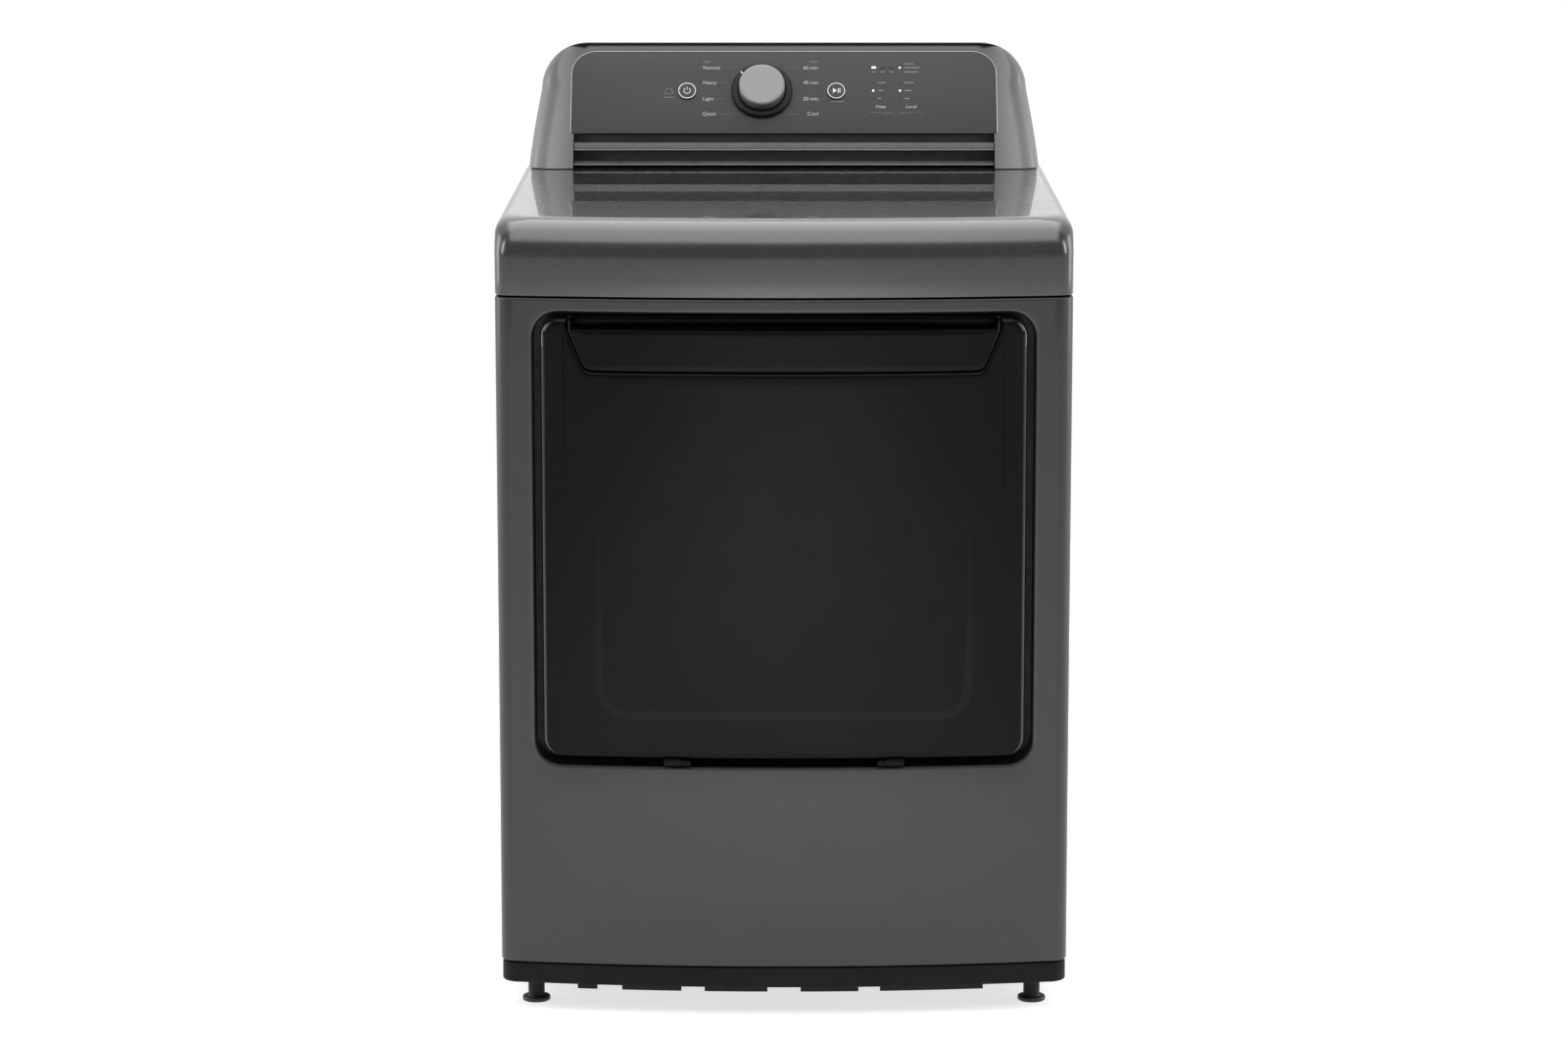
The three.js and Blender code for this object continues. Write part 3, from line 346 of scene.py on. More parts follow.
# ---- Materials ----
class Shader:
    """A short way to wire a procedural material."""

    def __init__(self, name):
        self.material = bpy.data.materials.new(name)
        self.material.use_nodes = True
        self.nodes = self.material.node_tree.nodes
        self.links = self.material.node_tree.links
        self.surface = self.nodes["Principled BSDF"]
        self.coords = self.nodes.new("ShaderNodeTexCoord").outputs["Object"]

    def set(self, **values):
        for name, value in values.items():
            self.surface.inputs[name.replace("_", " ")].default_value = value

    def stretched(self, scale):
        mapping = self.nodes.new("ShaderNodeMapping")
        mapping.inputs["Scale"].default_value = scale
        self.links.new(self.coords, mapping.inputs["Vector"])
        return mapping.outputs["Vector"]

    def noise(self, scale, detail=4.0, roughness=0.5, vector=None):
        node = self.nodes.new("ShaderNodeTexNoise")
        node.inputs["Scale"].default_value = scale
        node.inputs["Detail"].default_value = detail
        node.inputs["Roughness"].default_value = roughness
        self.links.new(vector or self.coords, node.inputs["Vector"])
        return node.outputs["Fac"]

    def voronoi(self, scale, output="Distance"):
        node = self.nodes.new("ShaderNodeTexVoronoi")
        node.inputs["Scale"].default_value = scale
        self.links.new(self.coords, node.inputs["Vector"])
        return node.outputs[output]

    def part(self, axis, output="Object", absolute=False):
        """One axis of the object's place or normal as a plain number."""
        split = self.nodes.new("ShaderNodeSeparateXYZ")
        self.links.new(self.nodes["Texture Coordinate"].outputs[output], split.inputs["Vector"])
        if not absolute:
            return split.outputs[axis]
        node = self.nodes.new("ShaderNodeMath")
        node.operation = "ABSOLUTE"
        self.links.new(split.outputs[axis], node.inputs[0])
        return node.outputs[0]

    def ramp(self, source, low, high, start=0.0, end=1.0):
        """Maps a 0-1 value to colours or to plain numbers."""
        node = self.nodes.new("ShaderNodeValToRGB")
        first, last = node.color_ramp.elements
        first.position, last.position = start, end
        first.color = low if isinstance(low, tuple) else (low, low, low, 1)
        last.color = high if isinstance(high, tuple) else (high, high, high, 1)
        self.links.new(source, node.inputs["Fac"])
        return node.outputs["Color"]

    def into(self, socket, source):
        self.links.new(source, self.surface.inputs[socket])

    def bump(self, *layers):
        """Each layer is (height source, strength, distance in metres)."""
        previous = None
        for height, strength, distance in layers:
            node = self.nodes.new("ShaderNodeBump")
            node.inputs["Strength"].default_value = strength
            node.inputs["Distance"].default_value = distance
            self.links.new(height, node.inputs["Height"])
            if previous:
                self.links.new(previous, node.inputs["Normal"])
            previous = node.outputs["Normal"]
        self.links.new(previous, self.surface.inputs["Normal"])

    def finish(self, colour, rough, *layers):
        """Wires the colour and roughness ramps and the bump, and gives the material back."""
        self.into("Base Color", self.ramp(*colour))
        self.into("Roughness", self.ramp(*rough))
        self.bump(*layers)
        return self.material


def grey(value, tint=(1.0, 1.0, 1.0)):
    return (value * tint[0], value * tint[1], value * tint[2], 1)


def coated(name, tone, rough, coat, coat_rough, metallic=0.75, specular=0.5):
    """Graphite paint: fine metal flakes under a clear coat with a little orange peel."""
    shader = Shader(name)
    shader.set(Metallic=metallic, Coat_Weight=coat, Coat_Roughness=coat_rough, Specular_IOR_Level=specular)
    flakes = shader.voronoi(2600, "Color")
    shader.finish((flakes, grey(tone * 0.94), grey(tone * 1.06, (1, 1, 1.01)), 0.1, 0.9),
                  (shader.noise(38, 5), rough - 0.012, rough + 0.015, 0.35, 0.7),
                  (shader.noise(240, 2), 0.003, 0.0004))
    return shader


def paint(*values):
    return coated(*values).material


def deck_paint():
    """The same paint, whose level top is wiped to a mirror by its thick clear coat, and whose upright faces
    are painted a lighter tone than the level top: a painted highlight.
    """
    shader = coated("graphite_deck_paint", 0.05, 0.27, 0.4, 0.16)
    upward = shader.part("Z", "Normal")
    shader.into("Coat Roughness", shader.ramp(upward, 0.16, 0.01, 0.93, 0.995))
    shader.into("Coat Weight", shader.ramp(upward, 0.4, 0.85, 0.93, 0.995))
    # Painted highlight: the rolled front's base tone is lighter than the level top's.
    shader.into("Base Color", shader.ramp(upward, grey(0.062), grey(0.022), 0.93, 0.995))
    return shader.material


def shell_paint():
    """The console's paint, painted lighter towards its rounded ends: a painted highlight where they would
    catch the light.
    """
    shader = coated("console_shell_paint", 0.042, 0.36, 0.3, 0.15, 0.2, 0.35)
    across = shader.part("X", absolute=True)
    # Painted highlight: the base tone brightens towards the console's rounded ends.
    shader.into("Base Color", shader.ramp(across, grey(0.04), grey(0.17), 0.27, 0.322))
    return shader.material


def polish(shader, colour, smoothest):
    """Shared finish of the glossy black mouldings, with faint waves."""
    shader.set(Specular_IOR_Level=0.07, Coat_Weight=0.05, Coat_Roughness=0.04)
    rough = (shader.noise(26, 6, 0.6), smoothest, smoothest + 0.08, 0.35, 0.75)
    return shader.finish(colour, rough, (shader.noise(320, 2), 0.012, 0.0003))


def gloss_black():
    """The rounded sides carry a thicker clear coat, which picks up the side lights."""
    shader = Shader("gloss_black")
    sideways = shader.part("X", "Normal", absolute=True)
    shader.into("Coat Weight", shader.ramp(sideways, 0.05, 1.0, 0.3, 0.6))
    return polish(shader, (shader.noise(4, 3), grey(0.0025), grey(0.0038), 0.3, 0.7), 0.14)


def band_black():
    """A shade lighter than the door, and fading into it upwards."""
    shader = Shader("band_black")
    return polish(shader, (shader.part("Z"), grey(0.0078), grey(0.0032), 0.36, 0.57), 0.16)


def moulded(name, tone, rough=0.55, grain=900, tint=(1, 1, 1), specular=0.5):
    """Moulded plastic with a fine spark-eroded grain."""
    shader = Shader(name)
    shader.set(Specular_IOR_Level=specular)
    return shader.finish((shader.noise(9, 4), grey(tone * 0.9, tint), grey(tone * 1.1, tint), 0.3, 0.7),
                         (shader.noise(60, 4), rough - 0.06, rough + 0.08, 0.3, 0.7),
                         (shader.noise(grain, 2, 0.6), 0.18, 0.0002))


def rubber(name, tone=0.012):
    shader = Shader(name)
    shader.set(Specular_IOR_Level=0.3)
    return shader.finish((shader.noise(30, 4), grey(tone * 0.7), grey(tone * 1.5), 0.3, 0.75),
                         (shader.noise(110, 3), 0.75, 0.92, 0.3, 0.7), (shader.noise(700, 3), 0.25, 0.0003))


def brushed(name, tone, rough, direction):
    """Brushed metal: long fine scratches across the stretched direction."""
    shader = Shader(name)
    shader.set(Metallic=1.0)
    lines = shader.noise(60, 3, 0.6, shader.stretched(direction))
    return shader.finish((lines, grey(tone * 0.88), grey(tone * 1.08), 0.25, 0.75),
                         (lines, rough - 0.06, rough + 0.08, 0.2, 0.8), (lines, 0.08, 0.0002))


def galvanised():
    """Zinc with its crystal spangle."""
    shader = Shader("galvanised")
    shader.set(Metallic=0.85)
    spangle = shader.voronoi(130, "Color")
    return shader.finish((spangle, grey(0.3), grey(0.37, (0.97, 0.99, 1.0)), 0.1, 0.9),
                         (spangle, 0.34, 0.44, 0.1, 0.9), (shader.noise(160, 4), 0.06, 0.0003))


def drum_steel():
    """Stainless drum wall with small pressed dimples."""
    shader = Shader("drum_steel")
    shader.set(Metallic=1.0)
    dimples = shader.ramp(shader.voronoi(36), 0.0, 1.0, 0.1, 0.32)
    lines = shader.noise(80, 3, 0.6, shader.stretched((1.0, 14.0, 1.0)))
    return shader.finish((lines, grey(0.46), grey(0.6), 0.25, 0.75), (lines, 0.24, 0.36, 0.2, 0.8),
                         (dimples, 0.35, 0.0012), (lines, 0.05, 0.0002))


def felt():
    shader = Shader("felt")
    shader.set(Sheen_Weight=0.4, Sheen_Roughness=0.6, Roughness=0.95)
    fibres = shader.noise(420, 6, 0.7)
    colour = shader.ramp(fibres, grey(0.2, (1, 0.95, 0.86)), grey(0.36, (1, 0.95, 0.88)), 0.3, 0.7)
    shader.into("Base Color", colour)
    shader.bump((fibres, 0.6, 0.0008))
    return shader.material


def mesh_screen():
    """Woven lint screen."""
    shader = Shader("mesh_screen")
    shader.set(Metallic=0.3)
    weave = shader.voronoi(520)
    return shader.finish((weave, grey(0.05), grey(0.34), 0.15, 0.5), (weave, 0.45, 0.7, 0.2, 0.6),
                         (weave, 0.7, 0.0006))


def printed(name, tone, emission=0.0):
    """Screen-printed ink, or a lit lens when it glows."""
    shader = Shader(name)
    shader.set(Specular_IOR_Level=0.3)
    if emission:
        shader.set(Emission_Color=(1, 1, 1, 1), Emission_Strength=emission)
    return shader.finish((shader.noise(300, 2), grey(tone * 0.93), grey(tone), 0.3, 0.7),
                         (shader.noise(90, 2), 0.5, 0.62, 0.3, 0.7), (shader.noise(1200, 2), 0.1, 0.0001))


PAINT = paint("graphite_paint", 0.046, 0.36, 0.16, 0.2)
DECK_PAINT = deck_paint()
FACE_PAINT = paint("console_face_paint", 0.036, 0.5, 0.02, 0.4, 0.1, 0.25)
SHELL_PAINT = shell_paint()
BLACK_GLOSS = gloss_black()
BLACK = moulded("black_plastic", 0.012, 0.5)
SATIN_BLACK = moulded("satin_black_plastic", 0.008, 0.42, 1400, specular=0.18)
GREY = moulded("grey_plastic", 0.2, 0.5)
WHITE = moulded("white_plastic", 0.72, 0.35, 700, (1, 1, 0.97))
RUBBER = rubber("black_rubber")
SILVER = paint("silver_cap", 0.185, 0.45, 0.1, 0.3, 0.25)
STEEL = brushed("brushed_steel", 0.5, 0.3, (18.0, 1.0, 1.0))
# Real trim round the fascia, and also the painted highlight on the slats' lower edges.
BRIGHT_TRIM_AND_HIGHLIGHT = brushed("bright_trim_and_painted_highlight", 0.34, 0.25, (1.0, 20.0, 20.0))
ZINC = galvanised()
DRUM = drum_steel()
FELT = felt()
SCREEN = mesh_screen()
INK = printed("printed_ink", 0.42)
PALE_INK = printed("printed_rings", 0.62)
DIM_INK = printed("small_print", 0.2)
SKIRT_PAINT = moulded("dark_skirt_paint", 0.009, 0.5, 1400, specular=0.1)
SLAT_PAINT = moulded("slat_paint", 0.06, 0.32, 1400)
HINGE_STEEL = moulded("black_hinge_coating", 0.006, 0.6, 900, specular=0.1)
BAND_BLACK = band_black()
FOOT_BLACK = moulded("foot_plastic", 0.012, 0.45, 900)
PAN_STEEL = moulded("dark_pan_paint", 0.01, 0.55, 700, specular=0.2)
LENS_LIT = printed("lit_lens", 0.9, 2.2)
LENS_DARK = printed("dark_lens", 0.02)
BOARD = moulded("circuit_board", 0.08, 0.4, 500, (0.35, 1.3, 0.5))

# Every record slot with the materials of its pieces; its CAD nodes wear the first one.
SLOTS = {
    "graphite_paint": (PAINT, DECK_PAINT, SHELL_PAINT, SKIRT_PAINT), "galvanised_steel": (ZINC,),
    "door_black": (BLACK_GLOSS, BAND_BLACK), "grey_plastic": (GREY,), "console_face": (FACE_PAINT,),
    "black_plastic": (BLACK, SATIN_BLACK, SLAT_PAINT, FOOT_BLACK, LENS_DARK),
    "silver_trim": (SILVER, BRIGHT_TRIM_AND_HIGHLIGHT), "stainless_steel": (STEEL,), "black_rubber": (RUBBER,),
    "white_plastic": (WHITE, INK, PALE_INK, DIM_INK, LENS_LIT), "felt": (FELT,),
    "circuit_board": (BOARD,),
}


def dress_cad_nodes():
    """Every CAD node that stays visible gets its slot's procedural material."""
    for part in frame["record"]["subparts"]:
        mesh = frame["nodes"][part["node"]].data
        mesh.materials.clear()
        mesh.materials.append(SLOTS[part["material_slot"]][0])
    special = {"drum_shell": DRUM, "base_pan": PAN_STEEL, "hinge_arm_left": HINGE_STEEL,
               "hinge_arm_right": HINGE_STEEL, "hinge_bracket_left": HINGE_STEEL,
               "hinge_bracket_right": HINGE_STEEL, "lint_filter": SCREEN}
    for node, material in special.items():
        frame["nodes"][node].data.materials[0] = material


# ---- Cabinet ----
def front_panel():
    """The bowed sheet with its rolled-in door opening, rounded upright corners and folded rims."""
    fold = 2.6
    roll = 4.0
    low, top = PANEL_LOW.z + fold, PANEL_HIGH.z - fold - SEAM
    flat_half = HALF - CORNER
    opening = outline_loop(rect_outline(**OPENING, columns=36))
    outer = outline_loop(rect_outline(flat_half, low, top, 0.0, 36))
    loops = [[(x, WELL_LOW.y - 0.3, z) for x, z in opening]]
    for rise, fall in quarter(6):
        ring = inset_loop(opening, -roll * rise)
        loops.append([(x, front_y(x) + roll * fall, z) for x, z in ring])
    inner = [(x, z) for x, _, z in loops[-1]]
    rings = 6
    for i in range(1, rings + 1):
        share = i / rings
        loops.append([(a + (c - a) * share, front_y(a + (c - a) * share), b + (d - b) * share)
                      for (a, b), (c, d) in zip(inner, outer)])
    centre = loft(loops)

    rows = 12
    levels = [low + (top - low) * j / rows for j in range(rows + 1)]
    wing = [p for p in rim_path(0.0) if p[0] <= -flat_half + 0.001]
    sides = []
    for sign in (-1, 1):
        columns = [[(-sign * x, y, z) for z in levels] for x, y in wing]
        sides.append(loft(columns, closed=False))
    rims = []
    for base, up in ((top, 1), (low, -1)):
        rows = []
        for i in range(7):
            angle = math.pi / 2 * i / 6
            path = rim_path(fold * (1 - math.cos(angle)))
            rows.append([(x, y, base + up * fold * math.sin(angle)) for x, y in path])
        rows.append([(x, y, base + up * fold) for x, y in rim_path(12.0)])
        rims.append(loft(rows, closed=False))
    piece = add_mesh("front_skin", merge(centre, *sides, *rims), PAINT, replaces=["front_panel"])
    weld(piece, 0.02)
    thicken(piece, SHEET)


def rim_path(inset):
    """Open plan path round the front panel, from its left return to its right one."""
    rear = EDGE_Y + CORNER + RETURN
    path = plan_outline(HALF - inset, EDGE_Y + inset, rear, BOW, CORNER - 0.6 * inset)[:-2]
    half = HALF - inset
    return [(-half, rear)] + path + [(half, rear)]


def weld(piece, distance):
    """Merges doubles and makes all faces point the same way."""
    mesh = bmesh.new()
    mesh.from_mesh(piece.data)
    bmesh.ops.remove_doubles(mesh, verts=mesh.verts, dist=distance * MM)
    bmesh.ops.recalc_face_normals(mesh, faces=mesh.faces)
    mesh.to_mesh(piece.data)
    mesh.free()
    piece.data.update()


def thicken(piece, thickness, offset=-1.0, smooth=40):
    """Gives a sheet its thickness and sharpens the new rim."""
    modifier = piece.modifiers.new("thickness", "SOLIDIFY")
    modifier.thickness = thickness * MM
    modifier.offset = offset
    modifier.use_even_offset = True
    bake(piece, smooth)


def bake(piece, smooth):
    """Applies a piece's modifiers and shades it again by angle."""
    depsgraph = bpy.context.evaluated_depsgraph_get()
    result = bpy.data.meshes.new_from_object(piece.evaluated_get(depsgraph))
    piece.modifiers.clear()
    piece.data = result
    result.shade_smooth()
    result.set_sharp_from_angle(angle=math.radians(smooth))


def top_cover():
    """The work surface with its rolled front and side edges."""
    roll_front, roll_side = 45.0, 18.0
    lip = 5.0
    under = 2.2
    loops = []

    def ring(z, inset, roll_z):
        up = max(0.0, roll_z - (DECK_Z - roll_front))
        front_in = roll_front - math.sqrt(max(0.0, roll_front ** 2 - up ** 2))
        up = max(0.0, roll_z - (DECK_Z - roll_side))
        side_in = roll_side - math.sqrt(max(0.0, roll_side ** 2 - up ** 2))
        plan = plan_outline(HALF - side_in - inset, EDGE_Y + front_in + inset, COVER_HIGH.y - inset, BOW,
                            CORNER + 0.6 * front_in)
        return [(x, y, z) for x, y in plan]

    loops.append(ring(COVER_LOW.z + lip, 14.0, COVER_LOW.z))
    loops.append(ring(COVER_LOW.z, 13.0, COVER_LOW.z))
    for rise, fall in quarter(6):
        loops.append(ring(COVER_LOW.z + under * rise, under * fall, COVER_LOW.z))
    loops.append(ring(COVER_LOW.z + 20, 0.0, COVER_LOW.z))
    for _, fall in quarter(16):
        z = DECK_Z - roll_front * fall
        loops.append(ring(z, 0.0, z))
    loops.append(ring(DECK_Z, 3.0, DECK_Z))
    loops.append(ring(DECK_Z, 12.0, DECK_Z))
    add_mesh("work_surface", loft(loops, cap_end=True), DECK_PAINT, replaces=["top_cover"])


def toe_skirt():
    """A bowed strip below the front panel with folded edges."""
    inset = 2.0
    profile = [(7.0, 0.0), (0.8, 0.0), (0.2, 0.6), (0.0, 1.6), (0.0, 12.0), (0.0, 21.0), (0.3, 22.4),
               (7.0, 22.8)]
    columns = []
    for depth, rise in profile:
        edge = inset + depth
        plan = plan_outline(HALF - edge, EDGE_Y + edge, SKIRT_HIGH.y, BOW, CORNER - depth / 2)
        columns.append([(x, y, SKIRT_LOW.z + rise) for x, y in plan][:-2])
    verts, faces = loft(columns, closed=False)
    piece = add_mesh("kick_strip", (verts, faces), SKIRT_PAINT, replaces=["toe_skirt"])
    thicken(piece, SHEET, 1.0)


# ---- Door ----
def mirrored(values):
    """Positive places from the middle out, mirrored to a run from left to right."""
    return [-v for v in reversed(values)] + [0.0] + list(values)


def grip_edge(x, clearance):
    """Lower edge of the grip plate: level in the middle, up steep sides, with rounded corners."""
    climb = (abs(x) - GRIP["low_half"]) * GRIP["slope"]
    round_off = 0.5 * (climb + math.sqrt(climb ** 2 + GRIP["rounding"] ** 2))
    return HANDLE_LOW.z - clearance + round_off


GRIP = {"half": HANDLE_HIGH.x, "low_half": HANDLE_HIGH.x - 20, "slope": 2.4, "rounding": 7.0,
        "top": DOOR_HIGH.z - 13.4, "seam": 0.9}
DOOR_CORNER = 22.0


def door_columns():
    corner = [DOOR_HIGH.x - DOOR_CORNER * (1 - math.sin(math.pi / 2 * i / 9)) for i in range(1, 10)]
    middle = [12.0 * i for i in range(1, 18)]
    near_grip = [212.0, 219.0, 225.0, 229.0, 232.0, 235.0, 238.0, 242.0, 247.0, 251.0]
    shoulder = [GRIP["half"] + 0.4, GRIP["half"] + 0.9, GRIP["half"] + 4, DOOR_HIGH.x - DOOR_CORNER]
    return mirrored(middle + near_grip + shoulder + corner)


def door_outline():
    """Door face below and beside the grip; the top edge drops between the shoulders."""
    bottom, top = [], []
    for x in door_columns():
        reach = abs(x)
        rise = 0.0
        if reach > DOOR_HIGH.x - DOOR_CORNER:
            across = (reach - (DOOR_HIGH.x - DOOR_CORNER)) / DOOR_CORNER
            rise = DOOR_CORNER * (1 - math.sqrt(max(0.0, 1 - across ** 2)))
        bottom.append((x, DOOR_LOW.z + rise))
        if reach > GRIP["half"] + 0.6:
            top.append((x, DOOR_HIGH.z - rise))
        else:
            top.append((x, min(GRIP["top"], grip_edge(x, GRIP["seam"]))))
    return framed(bottom, top, 40)


def framed(bottom, top, rows):
    """The four runs of a plate whose upright sides join its bottom and top runs."""
    x, low = bottom[-1]
    right = [(x, low + (top[-1][1] - low) * j / rows) for j in range(1, rows)]
    left = [(-x, z) for x, z in reversed(right)]
    return {"bottom": bottom, "right": right, "top": top, "left": left}


def door_face():
    back = EDGE_Y + 9.7
    part = bowed_plate(door_outline(), DOOR_PROUD, back, 7.0, 9)
    add_mesh("door_face", part, BLACK_GLOSS, "door", ["door_outer_panel"], smooth=30)


def door_grip():
    """Grip plate, the floor of the finger gap above it and the wall behind the fingers."""
    near_corner = [221, 226, 230, 233, 236, 240, 245, 250, GRIP["half"] - 0.6]
    columns = mirrored([12.0 * i for i in range(1, 19)] + near_corner)
    bottom = [(x, min(GRIP["top"] - 1.2, grip_edge(x, 0))) for x in columns]
    top = [(x, GRIP["top"]) for x in columns]
    back = EDGE_Y + 7.0
    plate = bowed_plate(framed(bottom, top, 8), DOOR_PROUD, back, 0.7, 3)
    add_mesh("grip_plate", plate, BLACK_GLOSS, "door", ["door_handle"], smooth=30)
    height = DOOR_HIGH.z - GRIP["top"] + 2
    wall = rounded_box((2 * GRIP["half"] - 6, 2.6, height), 1.2)
    wall = placed(wall, Matrix.Translation((0, back + 1.3, GRIP["top"] - 1.4 + height / 2)))
    add_mesh("grip_wall", wall, BLACK_GLOSS, "door", smooth=30)
    for side in (-1, 1):
        cheek = rounded_box((2.2, 30, 12), 0.8)
        x = side * (GRIP["half"] - 2.0)
        cheek = placed(cheek, Matrix.Translation((x, EDGE_Y - 9.0, GRIP["top"] + 5)))
        add_mesh("grip_cheek", cheek, BLACK_GLOSS, "door", smooth=30)


# ---- Console ----
def console_outline(z, inset):
    """Plan of the console at a height; its top corners roll over and its front leans back."""
    shoulder = CONSOLE["top"] - CONSOLE["top_corner"]
    rise = min(1.0, max(0.0, (z - DECK_Z) / (shoulder - DECK_Z)))
    straight = CONSOLE["half"] - (CONSOLE["half"] - CONSOLE["upper_half"]) * rise ** 1.3
    up = max(0.0, z - shoulder)
    side_in = CONSOLE["top_corner"] - math.sqrt(max(0.0, CONSOLE["top_corner"] ** 2 - up ** 2))
    rim_up = max(0.0, z - (CONSOLE["top"] - CONSOLE["rim"]))
    front_in = CONSOLE["rim"] - math.sqrt(max(0.0, CONSOLE["rim"] ** 2 - rim_up ** 2))
    front = FACE_FOOT_Y + (z - DECK_Z) * math.tan(FACE_TILT) + front_in + inset
    corner = min(CONSOLE["corner"], (CONSOLE["rear"] - front) * 0.8)
    half = straight - side_in - inset
    points = plan_outline(half, front, CONSOLE["rear"] - front_in, 0.0, corner, 8, 12, rear_corner=5.0)
    return [(x, y, z) for x, y in points]


CONSOLE = {"half": SHELL_HIGH.x, "upper_half": SHELL_HIGH.x - 14, "top": SHELL_HIGH.z, "top_corner": 60.0,
           "corner": 30.0, "rear": SHELL_HIGH.y - 2.3, "rim": 7.0}
PANEL = {"half": FACE_HIGH.x, "low": 53.0, "high": 174.0, "corner": 32.0, "thick": 3.0}


def console_shell():
    heights = [DECK_Z + 0.3, DECK_Z + 1.2]
    shoulder = CONSOLE["top"] - CONSOLE["top_corner"]
    heights += [DECK_Z + 1.2 + (shoulder - DECK_Z - 1.2) * i / 10 for i in range(1, 11)]
    for i in range(1, 23):
        heights.append(shoulder + CONSOLE["top_corner"] * math.sin(math.pi / 2 * i / 22))
    loops = []
    for i, z in enumerate(heights):
        z = min(z, CONSOLE["top"] - 0.02)
        loops.append(console_outline(z, 1.0 if i == 0 else 0.0))
    part = loft(loops, cap_start=True, cap_end=True)
    piece = add_mesh("console_body", part, SHELL_PAINT, replaces=["console_shell"], smooth=32)
    weld(piece, 0.005)

    face_hole = placed(prism(face_outline(0.5), -PANEL["thick"] - 0.6, 30), console_matrix())
    deck_top = DECK_Z + PANEL["low"] * math.cos(FACE_TILT)
    recess = rounded_box((2 * LOUVER_HIGH.x + 0.6, 400, 200), 2.0)
    recess = placed(recess, Matrix.Translation((0, LOUVER_HIGH.y - 200, deck_top - 100)))
    for name, part in (("face_cutter", face_hole), ("recess_cutter", recess)):
        cut_away(piece, name, part)


def cut_away(piece, name, part):
    """Boolean difference, applied at once so that no cutter stays in the scene."""
    cutter = linked(name, new_mesh(name, part))
    weld(cutter, 0.001)
    modifier = piece.modifiers.new(name, "BOOLEAN")
    modifier.operation = "DIFFERENCE"
    modifier.object = cutter
    modifier.solver = "EXACT"
    bake(piece, 32)
    bpy.data.objects.remove(cutter)


def face_outline(grow, steps=10):
    """The control panel's outline in its own plane: square below, rounded above."""
    half, high, corner = PANEL["half"] + grow, PANEL["high"] + grow, PANEL["corner"]
    curve = quarter(steps)
    points = [(-half, PANEL["low"] - grow), (half, PANEL["low"] - grow)]
    points += [(half - corner * rise, high - corner * fall) for rise, fall in curve]
    points += [(-half + corner * rise, high - corner * fall) for rise, fall in reversed(curve)]
    return points


def prism(outline, n0, n1):
    loops = [[(x, y, n) for x, y in outline] for n in (n0, n1)]
    return loft(loops, cap_start=True, cap_end=True)


def console_matrix():
    """From the leaning face's own plane (across, up, out) to the cabinet's frame."""
    up = Vector((0, math.sin(FACE_TILT), math.cos(FACE_TILT)))
    out = Vector((0, -math.cos(FACE_TILT), math.sin(FACE_TILT)))
    matrix = Matrix((Vector((1, 0, 0)), up, out)).transposed().to_4x4()
    matrix.translation = Vector((0, FACE_FOOT_Y, DECK_Z))
    return matrix


def on_face(x, up, out=0.0):
    return Matrix(console_matrix()) @ Matrix.Translation((x, up, out))


def control_panel():
    loops = []
    for n, grow in ((-PANEL["thick"], 0.0), (-0.5, 0.0), (-0.15, -0.15), (0.0, -0.6)):
        loops.append([(x, y, n) for x, y in face_outline(grow)])
    plate = placed(loft(loops, cap_start=True, cap_end=True), console_matrix())
    piece = add_mesh("control_fascia", plate, FACE_PAINT, replaces=["control_panel"], smooth=30)
    weld(piece, 0.001)
    hole = revolve([(0, -9), (BUTTON["radius"] + 0.4, -9), (BUTTON["radius"] + 0.4, 9), (0, 9)], 40)
    for x in (BUTTON["power"], BUTTON["start"]):
        cut_away(piece, "button_cutter", placed(hole, on_face(x, CONTROLS_UP)))

    trim = [tuple(console_matrix() @ Vector((x, y, 0.1))) for x, y in face_outline(-0.2)[1:]]
    trim.append(tuple(console_matrix() @ Vector((-PANEL["half"] + 0.2, PANEL["low"] + 0.2, 0.1))))
    add_mesh("fascia_trim", tube(trim, 0.55, 6), BRIGHT_TRIM_AND_HIGHLIGHT, smooth=50)


def louver():
    """Back wall and two slats, each with a bright lower edge: a thin bright metal rod that paints the
    highlight of the rounded edge.
    """
    half = LOUVER_HIGH.x
    rear = LOUVER_HIGH.y
    wall = rounded_box((2 * half, 3.0, LOUVER_HIGH.z - LOUVER_LOW.z), 0.5)
    wall = placed(wall, Matrix.Translation((0, rear - 1.5, (LOUVER_HIGH.z + LOUVER_LOW.z) / 2)))
    parts = [wall]
    slats = ((22.0, 33.0, 20.0), (3.8, 8.0, 32.0))
    for low, high, reach in slats:
        front = rear - reach
        profile = [(rear - 1, low + 1.2), (front + 2.5, low + 0.6), (front + 0.9, low + 0.1),
                   (front + 0.2, low + 0.5), (front, low + 1.4), (front + 0.3, low + 2.6),
                   (front + 4.5, high - 1.2), (front + 6, high - 0.3), (front + 8, high), (rear - 1, high)]
        loops = [[(x, y, DECK_Z + z) for y, z in profile] for x in (-half + 0.3, half - 0.3)]
        parts.append(loft(loops, cap_start=True, cap_end=True))
    piece = add_mesh("louver_slats", merge(*parts), SLAT_PAINT, replaces=["console_louver"], smooth=25)
    weld(piece, 0.001)
    # Painted highlight: a bright metal rod along each slat's lower edge.
    for low, high, reach in slats:
        front = rear - reach
        line = [(x, front + 0.35, DECK_Z + low + 0.9) for x in (0.4 - half, half - 0.4)]
        add_mesh("slat_painted_highlight", tube(line, 0.55, 8), BRIGHT_TRIM_AND_HIGHLIGHT, smooth=50)


CONTROLS_UP = 115.0
KNOB = {"x": -29.0, "ring": 40.0, "cap": 30.0, "height": 20.0}
BUTTON = {"power": -127.0, "start": 68.5, "radius": 12.2, "proud": 2.0}


